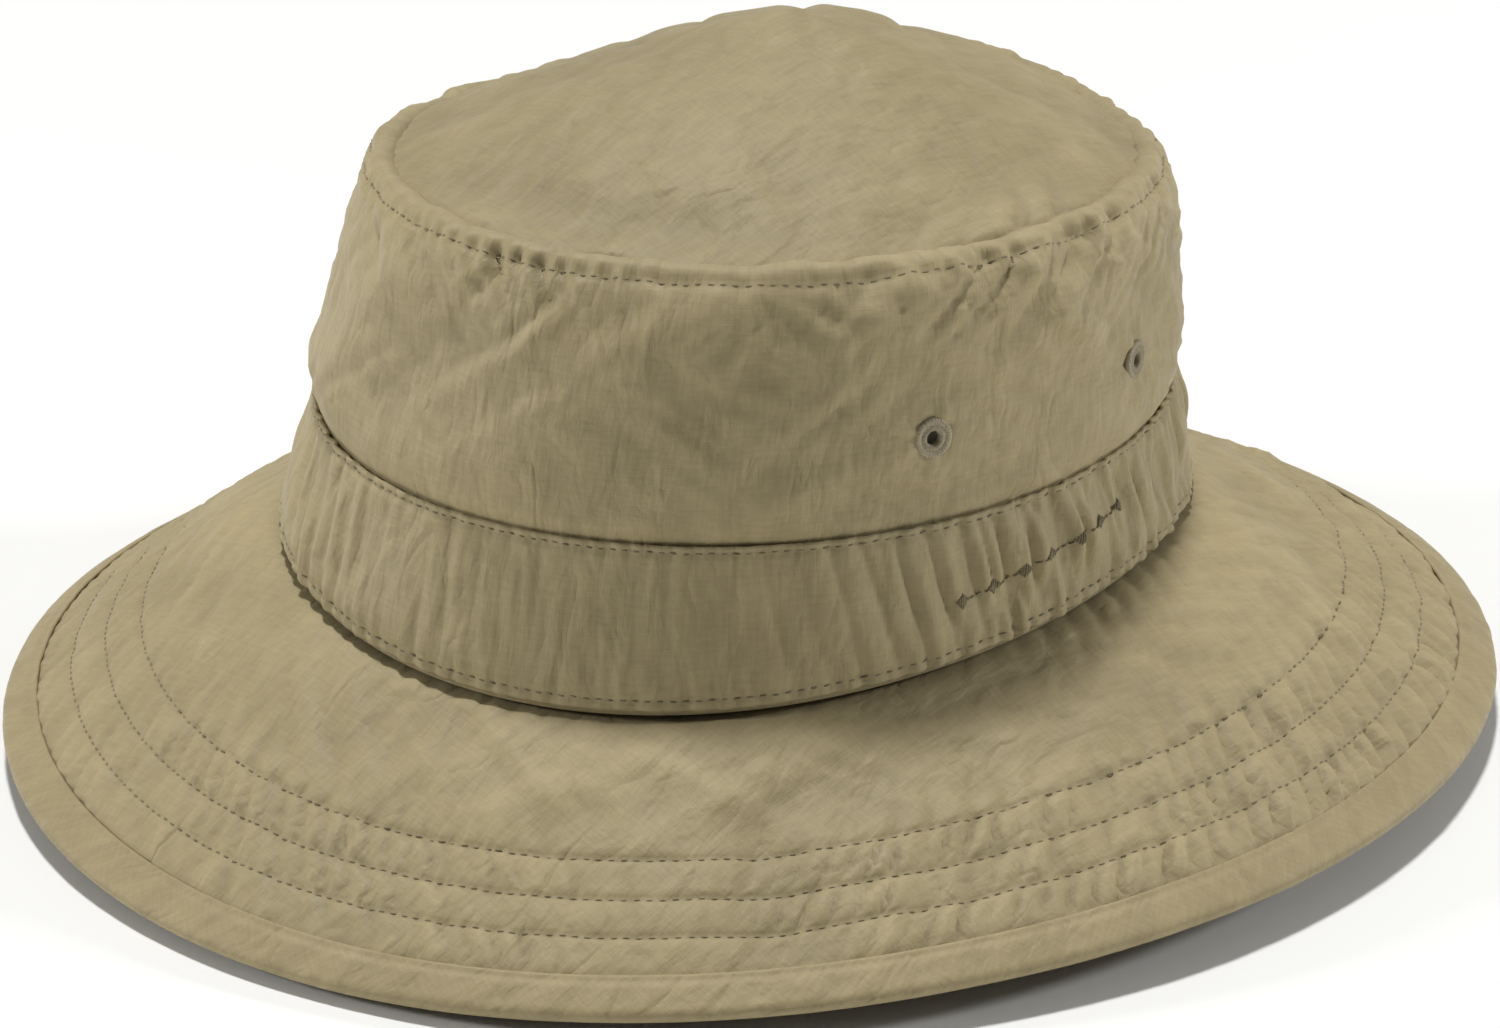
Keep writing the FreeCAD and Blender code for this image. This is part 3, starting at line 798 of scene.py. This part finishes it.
def woven_strip(name, colour, rib, roughness):
    """A narrow woven or knitted strip, ribbed across its length."""
    material, tree = new_material(name)
    cut = add(tree, "ShaderNodeUVMap", uv_map="cut").outputs["UV"]
    ribs = add(tree, "ShaderNodeTexWave", [("Vector", cut), ("Scale", 0.314 / rib), ("Distortion", 1.2),
                                           ("Detail", 2.0)], wave_type="BANDS", bands_direction="X")
    yarns = add(tree, "ShaderNodeTexWave", [("Vector", cut), ("Scale", 0.314 / (1.4 * rib)), ("Distortion", 0.8),
                                            ("Detail", 1.0)], wave_type="BANDS", bands_direction="Y")
    cells = add(tree, "ShaderNodeMath", [(0, ribs.outputs["Fac"]), (1, yarns.outputs["Fac"])],
                operation="MULTIPLY").outputs[0]
    fuzz = add(tree, "ShaderNodeTexNoise", [("Vector", cut), ("Scale", 400.0), ("Detail", 4.0)]).outputs["Fac"]
    light = linear(colour)
    dark = tuple(0.68 * c for c in light[:3]) + (1.0,)
    both = add(tree, "ShaderNodeMath", [(0, ramp(tree, cells, 0.0, 0.8, 0.1, 0.8)),
                                        (1, ramp(tree, fuzz, 0.3, 0.7, -0.2, 0.2))],
               operation="ADD", use_clamp=True).outputs[0]
    tone = add(tree, "ShaderNodeMix", [("Factor", both), (6, dark), (7, light)], data_type="RGBA").outputs[2]
    bump = add(tree, "ShaderNodeBump", [("Height", cells), ("Strength", 0.5), ("Distance", 0.0002)])
    shader = add(tree, "ShaderNodeBsdfPrincipled", [
        ("Base Color", tone), ("Roughness", roughness), ("Normal", bump.outputs["Normal"]),
        ("Sheen Weight", 0.25), ("Sheen Roughness", 0.5)])
    finish_material(tree, shader)
    return material


def material_of(name):
    """The material of that name, made the first time it is asked for."""
    if name in bpy.data.materials:
        return bpy.data.materials[name]
    colours = cloth()
    makers = {
        # the last number is the relief, in mm, over which the painted shade runs from dark to light
        "Crinkled nylon shell": lambda: crinkled_nylon(name, colours.shell, colours.shade, 1.4),
        "Crinkled nylon brim": lambda: crinkled_nylon(name, colours.shell, colours.shade, 1.0),
        "Crinkled nylon band": lambda: crinkled_nylon(name, colours.shell, colours.shade, 2.6),
        "Bias-cut nylon binding": lambda: crinkled_nylon(name, colours.binding, colours.shade, 1.0),
        "Spun polyester thread": lambda: spun_thread(name, colours.thread),
        "Whipping thread": lambda: spun_thread(name, colours.whipping),
        "Brushed wicking knit": lambda: woven_strip(name, colours.lining, 0.0012, 0.9),
        "Woven elastic": lambda: woven_strip(name, "dedbd2", 0.0014, 0.8),
        "Woven seam tape": lambda: woven_strip(name, colours.lining, 0.0008, 0.8),
        "Non-woven interlining": lambda: woven_strip(name, "d8d5cb", 0.0020, 0.95),
        "Satin label ribbon": lambda: woven_strip(name, "e8e6df", 0.0004, 0.45),
    }
    return makers[name]()


# ---- the pieces ----


class SUNHAT_OT_tip(bpy.types.Operator):
    """Make the oval tip of the crown"""

    bl_idname = "sun_hat.tip"
    bl_label = "Crown tip"

    def execute(self, context):
        piece = flat_sheet("tip_cloth", 190, 210)
        across, along = flat_coordinates(piece)
        square_x, square_y = 2 * across - 1, 2 * along - 1
        # a square cut eased into a disc, so that its weave stays straight
        x = square_x * np.sqrt(1 - square_y ** 2 / 2)
        y = square_y * np.sqrt(1 - square_x ** 2 / 2)
        face = ply(tip_base, tip_relief, 0.0, PLAN_STEP)
        cut = np.stack([x * TIP_HALF_WIDTH, y * TIP_HALF_LENGTH], -1)
        lay(piece, face(x, y), cut, tip_relief(x, y))
        sew_shut(piece, CLOTH, closed=False)
        finish(piece, material_of("Crinkled nylon shell"), "shell_cloth", "crown_tip")
        # the cut is the oval of the tip's plan
        return {"FINISHED"}


def eyelet_places():
    """Angle and height of each vent, from its node in the frame."""
    places = {}
    for side in ("left", "right"):
        for end in ("front", "rear"):
            low, high = span("eyelet_%s_%s" % (side, end))
            middle = (low + high) / 2
            turn = math.atan2(middle.x / HALF_WIDTH, -(middle.y - CROWN_Y - 2.8) / HALF_LENGTH)
            places["%s_%s" % (side, end)] = (turn, middle.z - SEAM_Z)
    return places


def punch(piece, centres, radius):
    """Take out the faces within a radius of each centre, in mm."""
    mesh = piece.data
    middles = np.empty(len(mesh.polygons) * 3)
    mesh.polygons.foreach_get("center", middles)
    middles = middles.reshape(-1, 3) / MM
    hit = np.zeros(len(middles), bool)
    for centre in centres:
        hit |= np.linalg.norm(middles - centre, axis=1) < radius
    deselect()
    piece.select_set(True)
    bpy.context.view_layer.objects.active = piece
    bpy.ops.object.mode_set(mode="EDIT")
    bpy.ops.mesh.select_mode(type="FACE")
    bpy.ops.mesh.select_all(action="DESELECT")
    bpy.ops.object.mode_set(mode="OBJECT")
    mesh.polygons.foreach_set("select", hit)
    bpy.ops.object.mode_set(mode="EDIT")
    bpy.ops.mesh.delete(type="FACE")
    bpy.ops.mesh.select_mode(type="VERT")
    bpy.ops.object.mode_set(mode="OBJECT")


class SUNHAT_OT_wall(bpy.types.Operator):
    """Make the crown wall, with its four vent holes"""

    bl_idname = "sun_hat.wall"
    bl_label = "Crown wall"

    def execute(self, context):
        face = wall_face()
        levels = closer(np.linspace(0.0, WALL_HEIGHT + 1.4, 66), [TIP_ROW, WALL_HEIGHT])
        piece = wrapped("wall_cloth", face, wall_relief, levels, 640, 0.0)
        centres = [face(np.array([turn]), np.array([height]))[0] for turn, height in eyelet_places().values()]
        punch(piece, centres, 2.3)
        sew_shut(piece, CLOTH)
        finish(piece, material_of("Crinkled nylon shell"), "shell_cloth", "crown_side")
        return {"FINISHED"}


class SUNHAT_OT_band(bpy.types.Operator):
    """Make the gathered band round the foot of the crown"""

    bl_idname = "sun_hat.band"
    bl_label = "Crown band"

    def execute(self, context):
        levels = closer(np.linspace(0.8, BAND_HEIGHT, 40), [BAND_BASE_ROW, BAND_TOP_ROW])
        piece = wrapped("band_cloth", band_face(), band_relief, levels, 920, BAND_CLOTH)
        finish(piece, material_of("Crinkled nylon band"), "band_cloth", "crown_band")
        return {"FINISHED"}


class SUNHAT_OT_brim(bpy.types.Operator):
    """Make the brim's two plies and the stiffener between them"""

    bl_idname = "sun_hat.brim"
    bl_label = "Brim"

    def execute(self, context):
        under_upper = CLOTH + GAP
        under_lining = under_upper + INTERLINING + GAP
        end = REACH - BINDING_CLOTH - GAP
        plies = (("brim_upper_cloth", "Crinkled nylon brim", "brim_cloth", "brim_upper", 0.0, CLOTH, -1.6),
                 ("brim_stiffener", "Non-woven interlining", "interlining", "brim_interlining",
                  under_upper + 0.25, INTERLINING - 0.5, 3.0),
                 ("brim_lower_cloth", "Crinkled nylon brim", "brim_cloth", "brim_lower",
                  under_lining, CLOTH, -1.6))
        # the plies share their levels, so that they nest in every pucker
        shared = closer(np.linspace(-1.6, end, 32), [*BRIM_ROWS, BINDING_ROW])[::-1]
        for name, material, slot, node, depth, thickness, first in plies:
            levels = [level for level in shared if level >= first]
            piece = wrapped(name, brim_face(depth), brim_relief, levels, 960, thickness)
            oval_cut(piece, levels[0])
            finish(piece, material_of(material), slot, node)
        return {"FINISHED"}


def oval_cut(piece, edge):
    """Replace the strip's UV map by the plan of the oval that the ply was cut as."""
    mesh = piece.data
    uv = np.empty(len(mesh.loops) * 2)
    layer = mesh.uv_layers.active.data
    layer.foreach_get("uv", uv)
    along, across = uv.reshape(-1, 2).T / MM
    turn = 2 * math.pi * (along / SEAM_ROUND - 0.5)
    reach = edge - across
    plan = np.stack([(HALF_WIDTH + reach) * np.sin(turn), -(HALF_LENGTH + reach) * np.cos(turn)], -1)
    layer.foreach_set("uv", (plan * MM).ravel())


def binding_face(turn, share):
    """The strip folded round the brim's edge, from its lower inner edge, share 0, to its upper one."""
    stack = 2 * CLOTH + INTERLINING + 2 * GAP
    half = stack / 2 + BINDING_CLOTH + 0.25
    width = BINDING_WIDTH - half
    run = width / (2 * width + math.pi * half)      # share of the strip on each flat side
    under, over = share < run, share > 1 - run
    swing = np.clip((share - run) / (1 - 2 * run), 0.0, 1.0) * math.pi
    out = np.where(under, share / run * width,
                   np.where(over, (1 - share) / run * width, width + half * np.sin(swing)))
    up = np.where(under, -half, np.where(over, half, -half * np.cos(swing)))
    inner = np.minimum(share, 1 - share) / run * width
    up = up - np.sign(up) * 0.45 * groove(inner - 1.1, 0.8) - np.sign(up) * 0.35 * (1 - step(inner, 0.0, 0.8))
    drag = ridges(71, turn + 0.006 * out, out, 150, 16.0)
    up = up + np.sign(up) * 0.16 * drag * (0.4 + near(turn, -25, 25) + near(turn, 120, 40))
    up = up + 0.25 * waves(72, turn, share, 40, 3.0)
    reach = REACH - BINDING_WIDTH + out
    inside = np.minimum(reach, REACH - half)
    normal = normal_of(brim_base, turn, inside, (1e-3, -0.05))
    point = brim_base(turn, reach) + (up - stack / 2)[..., None] * normal
    point[..., 2] = np.maximum(point[..., 2], 0.0)
    return point


class SUNHAT_OT_binding(bpy.types.Operator):
    """Make the strip that binds the brim's edge"""

    bl_idname = "sun_hat.binding"
    bl_label = "Brim binding"

    def execute(self, context):
        piece = flat_sheet("binding_strip", 1000, 40)
        along, across = flat_coordinates(piece)
        turn = 2 * math.pi * (along - 0.5)
        length = SEAM_ROUND + 2 * math.pi * REACH
        cut = np.stack([along * length, across * 2.4 * BINDING_WIDTH], -1)
        cut = cut @ np.array([[0.7071, 0.7071], [-0.7071, 0.7071]])     # cut on the bias
        lay(piece, binding_face(turn, across), cut, 0.2 * waves(73, turn, across, 60, 2.0))
        sew_shut(piece, BINDING_CLOTH)
        finish(piece, material_of("Bias-cut nylon binding"), "binding_cloth", "brim_binding")
        return {"FINISHED"}


class SUNHAT_OT_sweatband(bpy.types.Operator):
    """Make the folded sweatband, and the elastic inside it at the back"""

    bl_idname = "sun_hat.sweatband"
    bl_label = "Sweatband and elastic"

    def execute(self, context):
        casing = 4 * TAPE + 2 * GAP
        depth = CLOTH + GAP + 0.4
        piece = flat_sheet("sweatband_knit", 620, 60)
        along, across = flat_coordinates(piece)
        turn = -2 * math.pi * (along - 0.5)
        # up the inner face, over the fold at the top, and down behind
        fold = np.clip((across - 0.48) / 0.04, 0.0, 1.0)
        height = SWEATBAND_HEIGHT * np.where(across < 0.5, np.minimum(across / 0.48, 1.0),
                                             np.minimum((1 - across) / 0.48, 1.0))
        height = 0.3 + (height - 0.3) + 0.4 * np.sin(math.pi * fold)
        back = depth + (casing - TAPE) * (1 - ease(fold))
        gather = np.clip(-np.cos(turn), 0.0, 1.0) ** 2
        wrinkle = gather * 0.5 * ridges(81, turn, height, 110, 26.0) * np.sin(math.pi * height / SWEATBAND_HEIGHT)
        seam = 0.35 * groove(height - 3.0, 0.8) + 0.3 * groove(height - SWEATBAND_HEIGHT + 2.0, 0.8)
        inward = back + np.where(across < 0.5, np.abs(wrinkle) - seam, 0.0)
        points = crown_base(turn, height) - inward[..., None] * normal_of(crown_base, turn, height, ROUND_STEP)
        cut = np.stack([along * SEAM_ROUND, across * 2 * SWEATBAND_HEIGHT], -1)
        lay(piece, points, cut, wrinkle)
        sew_shut(piece, TAPE)
        finish(piece, material_of("Brushed wicking knit"), "sweatband_cloth", "sweatband")
        elastic_low, elastic_high = span("rear_elastic")
        width = elastic_high.z - elastic_low.z
        start = (SWEATBAND_HEIGHT - width) / 2
        strip = wrapped("rear_elastic_strip", inner_face(depth + TAPE + 2 * GAP),
                        lambda turn, height: 0.0 * turn + 0.0 * height,
                        np.linspace(start, start + width, 17), 220, TAPE,
                        turns=(math.radians(115), math.radians(245)))
        finish(strip, material_of("Woven elastic"), "elastic", "rear_elastic")
        return {"FINISHED"}


class SUNHAT_OT_tapes(bpy.types.Operator):
    """Make the tapes over the crown's raw seams"""

    bl_idname = "sun_hat.tapes"
    bl_label = "Seam tapes"

    def execute(self, context):
        tip_low, tip_high = span("tip_seam_tape")
        start, end = tip_low.z - SEAM_Z, tip_high.z - SEAM_Z
        face = ply(crown_base, wall_relief, CLOTH + 2 * GAP, ROUND_STEP)
        piece = wrapped("tip_tape_strip", face, wall_relief, np.linspace(start, end - 1.0, 15), 420, TAPE)
        finish(piece, material_of("Woven seam tape"), "tape", "tip_seam_tape")
        back_low, back_high = span("back_seam_tape")
        start, end = back_low.z - SEAM_Z, back_high.z - SEAM_Z
        half = back_high.x / HALF_LENGTH
        piece = wrapped("back_tape_strip", face, wall_relief, np.linspace(start, end, 61), 14, TAPE,
                        turns=(math.pi - half, math.pi + half))
        finish(piece, material_of("Woven seam tape"), "tape", "back_seam_tape")
        return {"FINISHED"}


class SUNHAT_OT_labels(bpy.types.Operator):
    """Make the two blank labels sewn to the sweatband"""

    bl_idname = "sun_hat.labels"
    bl_label = "Labels"

    def execute(self, context):
        for node in ("care_label", "size_label"):
            low, high = span(node)
            start, end = low.z - SEAM_Z, high.z - SEAM_Z
            turns = sorted(math.pi - math.asin(x / HALF_WIDTH) for x in (low.x, high.x))
            piece = flat_sheet(node + "_ribbon", 40, 40)
            along, across = flat_coordinates(piece)
            turn = turns[1] + (turns[0] - turns[1]) * along
            height = start + (end - start) * across
            curl = 0.8 * (1 - step(across, 0.0, 0.5)) + 0.15 * np.sin(7 * along)
            inward = CLOTH + GAP + 0.4 + 4 * TAPE + 1.0 + curl
            points = crown_base(turn, height) - inward[..., None] * normal_of(
                crown_base, turn, height, ROUND_STEP)
            cut = np.stack([along * (high.x - low.x), across * (end - start)], -1)
            lay(piece, points, cut, 0 * along)
            sew_shut(piece, LABEL, closed=False)
            finish(piece, material_of("Satin label ribbon"), "label_satin", node)
        return {"FINISHED"}


class SUNHAT_OT_stitching(bpy.types.Operator):
    """Sew every row of topstitching, stitch by stitch"""

    bl_idname = "sun_hat.stitching"
    bl_label = "Topstitching"

    def execute(self, context):
        crown_rows = (("tip", wall_face(), TIP_ROW), ("band_top", band_face(), BAND_TOP_ROW),
                      ("band_base", band_face(), BAND_BASE_ROW))
        for name, face, height in crown_rows:
            length = SEAM_ROUND - 2 * math.pi * 0.1 * height
            points, faces = row_of_stitches(face, crown_base, height, length, ROUND_STEP)
            self.sew("stitches_" + name, points, faces, "topstitch_" + name)
        stack = 2 * CLOTH + INTERLINING + 2 * GAP
        delta = (1e-3, -0.05)
        for name, reach in zip(("inner", "middle", "outer"), BRIM_ROWS):
            length = SEAM_ROUND + 2 * math.pi * reach
            upper = row_of_stitches(brim_face(), brim_base, reach, length, delta)
            lower = row_of_stitches(brim_face(stack), brim_base, reach, length, delta, side=-1.0, phase=0.5)
            self.sew("stitches_brim_" + name, *joined([upper, lower]), "topstitch_brim_" + name)
        length = SEAM_ROUND + 2 * math.pi * BINDING_ROW
        strip = 1.6 / (2.4 * BINDING_WIDTH)

        def binding_row(turn, level):
            return binding_face(turn, level)

        upper = row_of_stitches(binding_row, lambda turn, level: brim_base(turn, BINDING_ROW + level - level),
                                1 - strip, length, delta)
        self.sew("stitches_binding", *upper, "topstitch_binding")
        return {"FINISHED"}

    def sew(self, name, points, faces, node):
        piece = mesh_piece(name, points, faces)
        finish(piece, material_of("Spun polyester thread"), "thread", node)


class SUNHAT_OT_embroidery(bpy.types.Operator):
    """Embroider a plain border of satin-stitched lozenges on the left of the band"""

    bl_idname = "sun_hat.embroidery"
    bl_label = "Band embroidery"

    def execute(self, context):
        low, high = span("band_embroidery")
        count, strands = 7, 7
        half_height = (high.z - low.z) / 2 * 0.42
        height = (low.z + high.z) / 2 - SEAM_Z
        ends = [math.acos(-(y - CROWN_Y) / HALF_LENGTH) for y in (low.y, high.y)]
        pitch = (ends[1] - ends[0]) / count
        face = band_face()
        starts, finishes, normals = [], [], []
        for motif in range(count):
            middle = height + 0.9 * (motif - 3)
            # a lozenge of upright satin strands, then three running stitches on to the next
            strokes = [(0.5 + 0.22 * share, -half_height * (1.08 - abs(share)),
                        0.5 + 0.22 * share, half_height * (1.08 - abs(share)))
                       for share in np.linspace(-0.86, 0.86, strands)]
            strokes += [(0.78 + 0.2 * run, 0.18 * run, 0.91 + 0.2 * run, 0.18 * (run + 1)) for run in range(3)]
            for first, bottom, last, top in strokes[:strands + 3 * (motif < count - 1)]:
                at = ends[0] + pitch * (motif + np.array([first, last]))
                heights = middle + np.array([bottom, top])
                pair = face(at, heights)
                out = normal_of(crown_base, at, heights, ROUND_STEP).mean(0)
                starts.append(pair[0] + 0.3 * out)
                finishes.append(pair[1] + 0.3 * out)
                normals.append(out)
        points, faces = stitches(np.array(starts), np.array(finishes), np.array(normals), 0.2)
        piece = mesh_piece("border_embroidery", points, faces)
        finish(piece, material_of("Spun polyester thread"), "thread", "band_embroidery")
        return {"FINISHED"}


class SUNHAT_OT_vents(bpy.types.Operator):
    """Whip the four ventilation eyelets with thread"""

    bl_idname = "sun_hat.vents"
    bl_label = "Vents"

    def execute(self, context):
        low, high = span("eyelet_left_front")
        radius = (high.z - low.z) / 2 / 0.98
        for name, (turn, height) in eyelet_places().items():
            at, level = np.array([turn]), np.array([height])
            out = normal_of(crown_base, at, level, ROUND_STEP)[0]
            middle = wall_face()(at, level)[0] + 0.35 * out
            across = np.cross([0.0, 0.0, 1.0], out)
            across /= np.linalg.norm(across)
            uphill = np.cross(out, across)
            points, faces = self.whipped(radius)
            placed = middle + points[:, :1] * across + points[:, 1:2] * uphill + points[:, 2:] * out
            piece = mesh_piece("vent_" + name, placed, faces)
            finish(piece, material_of("Whipping thread"), "thread", "eyelet_" + name)
        return {"FINISHED"}

    def whipped(self, radius):
        """A spool of wrapped thread about +Z: an outer ring, a groove, an inner ring and the bore."""
        # radius share and height of the section, from under the outer edge round to the back
        section = [(0.98, -0.5), (1.0, 0.0), (0.95, 0.38), (0.84, 0.52), (0.72, 0.38), (0.66, 0.16),
                   (0.60, 0.20), (0.54, 0.42), (0.46, 0.50), (0.39, 0.36), (0.35, 0.0), (0.35, -1.0),
                   (0.42, -1.4), (0.62, -1.45), (0.80, -1.3), (0.86, -1.0), (0.80, -0.7)]
        wraps, each = 34, 4
        points, faces = [], []
        count = wraps * each
        for index in range(count):
            angle = 2 * math.pi * index / count
            proud = 0.10 * math.cos(angle * wraps)
            for share, height in section:
                swell = proud if height > -0.6 else 0.4 * proud
                points.append((radius * share * math.cos(angle), radius * share * math.sin(angle),
                               height + (swell if share > 0.36 else 0.0)))
        size = len(section)
        for index in range(count):
            following = (index + 1) % count
            for place in range(size):
                after = (place + 1) % size
                faces.append((index * size + place, following * size + place,
                              following * size + after, index * size + after))
        return np.array(points), faces


class SUNHAT_OT_stage(bpy.types.Operator):
    """Lay the floor and set the lights and the camera"""

    bl_idname = "sun_hat.stage"
    bl_label = "Stage"

    def execute(self, context):
        self.floor()
        self.lights()
        self.camera()
        context.scene.view_settings.view_transform = "Standard"
        return {"FINISHED"}

    def floor(self):
        deselect()
        bpy.ops.mesh.primitive_plane_add(size=12.0, location=(0, 0, 0))
        floor = bpy.context.active_object
        floor.name = "floor"
        material, tree = new_material("Matt white studio floor")
        shader = add(tree, "ShaderNodeBsdfPrincipled", [("Base Color", linear(stage().floor)),
                                                        ("Roughness", 0.95), ("Specular IOR Level", 0.1)])
        finish_material(tree, shader)
        floor.data.materials.append(material)

    def lights(self):
        world = bpy.data.worlds.new("Soft white room")
        world.use_nodes = True
        world.node_tree.nodes.clear()
        sky = add(world.node_tree, "ShaderNodeBackground", [("Color", (1.0, 1.0, 1.0, 1.0)), ("Strength", 0.13)])
        add(world.node_tree, "ShaderNodeOutputWorld", [("Surface", sky.outputs["Background"])])
        bpy.context.scene.world = world
        # an even overhead light keeps the floor white; two small lamps graze the wrinkles
        lamps = (("overhead", "SUN", (-0.36, 0.20, 1.8), math.radians(7), 2.40),
                 ("left", "AREA", (-1.00, -1.35, 0.65), 0.30, 10.5),
                 ("rear", "AREA", (1.15, 1.35, 0.80), 0.30, 12.5))
        for name, kind, place, size, power in lamps:
            light = bpy.data.lights.new(name, kind)
            light.energy = power
            if kind == "SUN":
                light.angle = size
            else:
                light.shape = "DISK"
                light.size = size
            lamp = bpy.data.objects.new(name, light)
            lamp.location = place
            aim = -lamp.location
            aim.z += 0.08
            lamp.rotation_euler = aim.to_track_quat("-Z", "Y").to_euler()
            bpy.context.scene.collection.objects.link(lamp)

    def camera(self):
        settings = stage()
        cos_el = math.cos(settings.elevation)
        back = np.array([math.sin(settings.azimuth) * cos_el, -math.cos(settings.azimuth) * cos_el,
                         math.sin(settings.elevation)])
        target = np.array([0.0, CROWN_Y, SEAM_Z + FLOOR_LIFT]) * MM
        data = bpy.data.cameras.new("camera")
        camera = bpy.data.objects.new("camera", data)
        data.lens = settings.lens
        data.sensor_width = 36.0
        data.shift_x = 0.0055
        data.shift_y = -0.0090
        data.clip_end = 50.0
        camera.location = target + settings.distance * back
        camera.rotation_euler = (math.pi / 2 - settings.elevation, 0.0, settings.azimuth)
        camera.rotation_euler.rotate_axis("Z", settings.roll)
        bpy.context.scene.collection.objects.link(camera)
        bpy.context.scene.camera = camera


class SUNHAT_PT_panel(bpy.types.Panel):
    """Lists the hat's settings and pieces"""

    bl_idname = "SUNHAT_PT_panel"
    bl_label = "Sun Hat"
    bl_space_type = "VIEW_3D"
    bl_region_type = "UI"
    bl_category = "Sun Hat"

    def draw(self, context):
        scene = context.scene
        for group in (scene.sun_hat_cloth, scene.sun_hat_drape, scene.sun_hat_stage):
            box = self.layout.box()
            for name in group.__annotations__:
                box.prop(group, name)
        for operator in OPERATORS:
            self.layout.operator(operator.bl_idname)


GROUPS = {"sun_hat_cloth": SunHatCloth, "sun_hat_drape": SunHatDrape, "sun_hat_stage": SunHatStage}
OPERATORS = (SUNHAT_OT_stage, SUNHAT_OT_tip, SUNHAT_OT_wall, SUNHAT_OT_band, SUNHAT_OT_brim,
             SUNHAT_OT_binding, SUNHAT_OT_sweatband, SUNHAT_OT_tapes, SUNHAT_OT_labels,
             SUNHAT_OT_stitching, SUNHAT_OT_embroidery, SUNHAT_OT_vents)


def register():
    for group in (*GROUPS.values(), *OPERATORS, SUNHAT_PT_panel):
        bpy.utils.register_class(group)
    for name, group in GROUPS.items():
        setattr(bpy.types.Scene, name, bpy.props.PointerProperty(type=group))


def unregister():
    for name in GROUPS:
        delattr(bpy.types.Scene, name)
    for group in reversed((*GROUPS.values(), *OPERATORS, SUNHAT_PT_panel)):
        bpy.utils.unregister_class(group)


def main():
    register()
    bpy.ops.sun_hat.stage()
    bpy.ops.sun_hat.tip()
    bpy.ops.sun_hat.wall()
    bpy.ops.sun_hat.band()
    bpy.ops.sun_hat.brim()
    bpy.ops.sun_hat.binding()
    bpy.ops.sun_hat.sweatband()
    bpy.ops.sun_hat.tapes()
    bpy.ops.sun_hat.labels()
    bpy.ops.sun_hat.stitching()
    bpy.ops.sun_hat.embroidery()
    bpy.ops.sun_hat.vents()


if __name__ == "__main__":
    main()
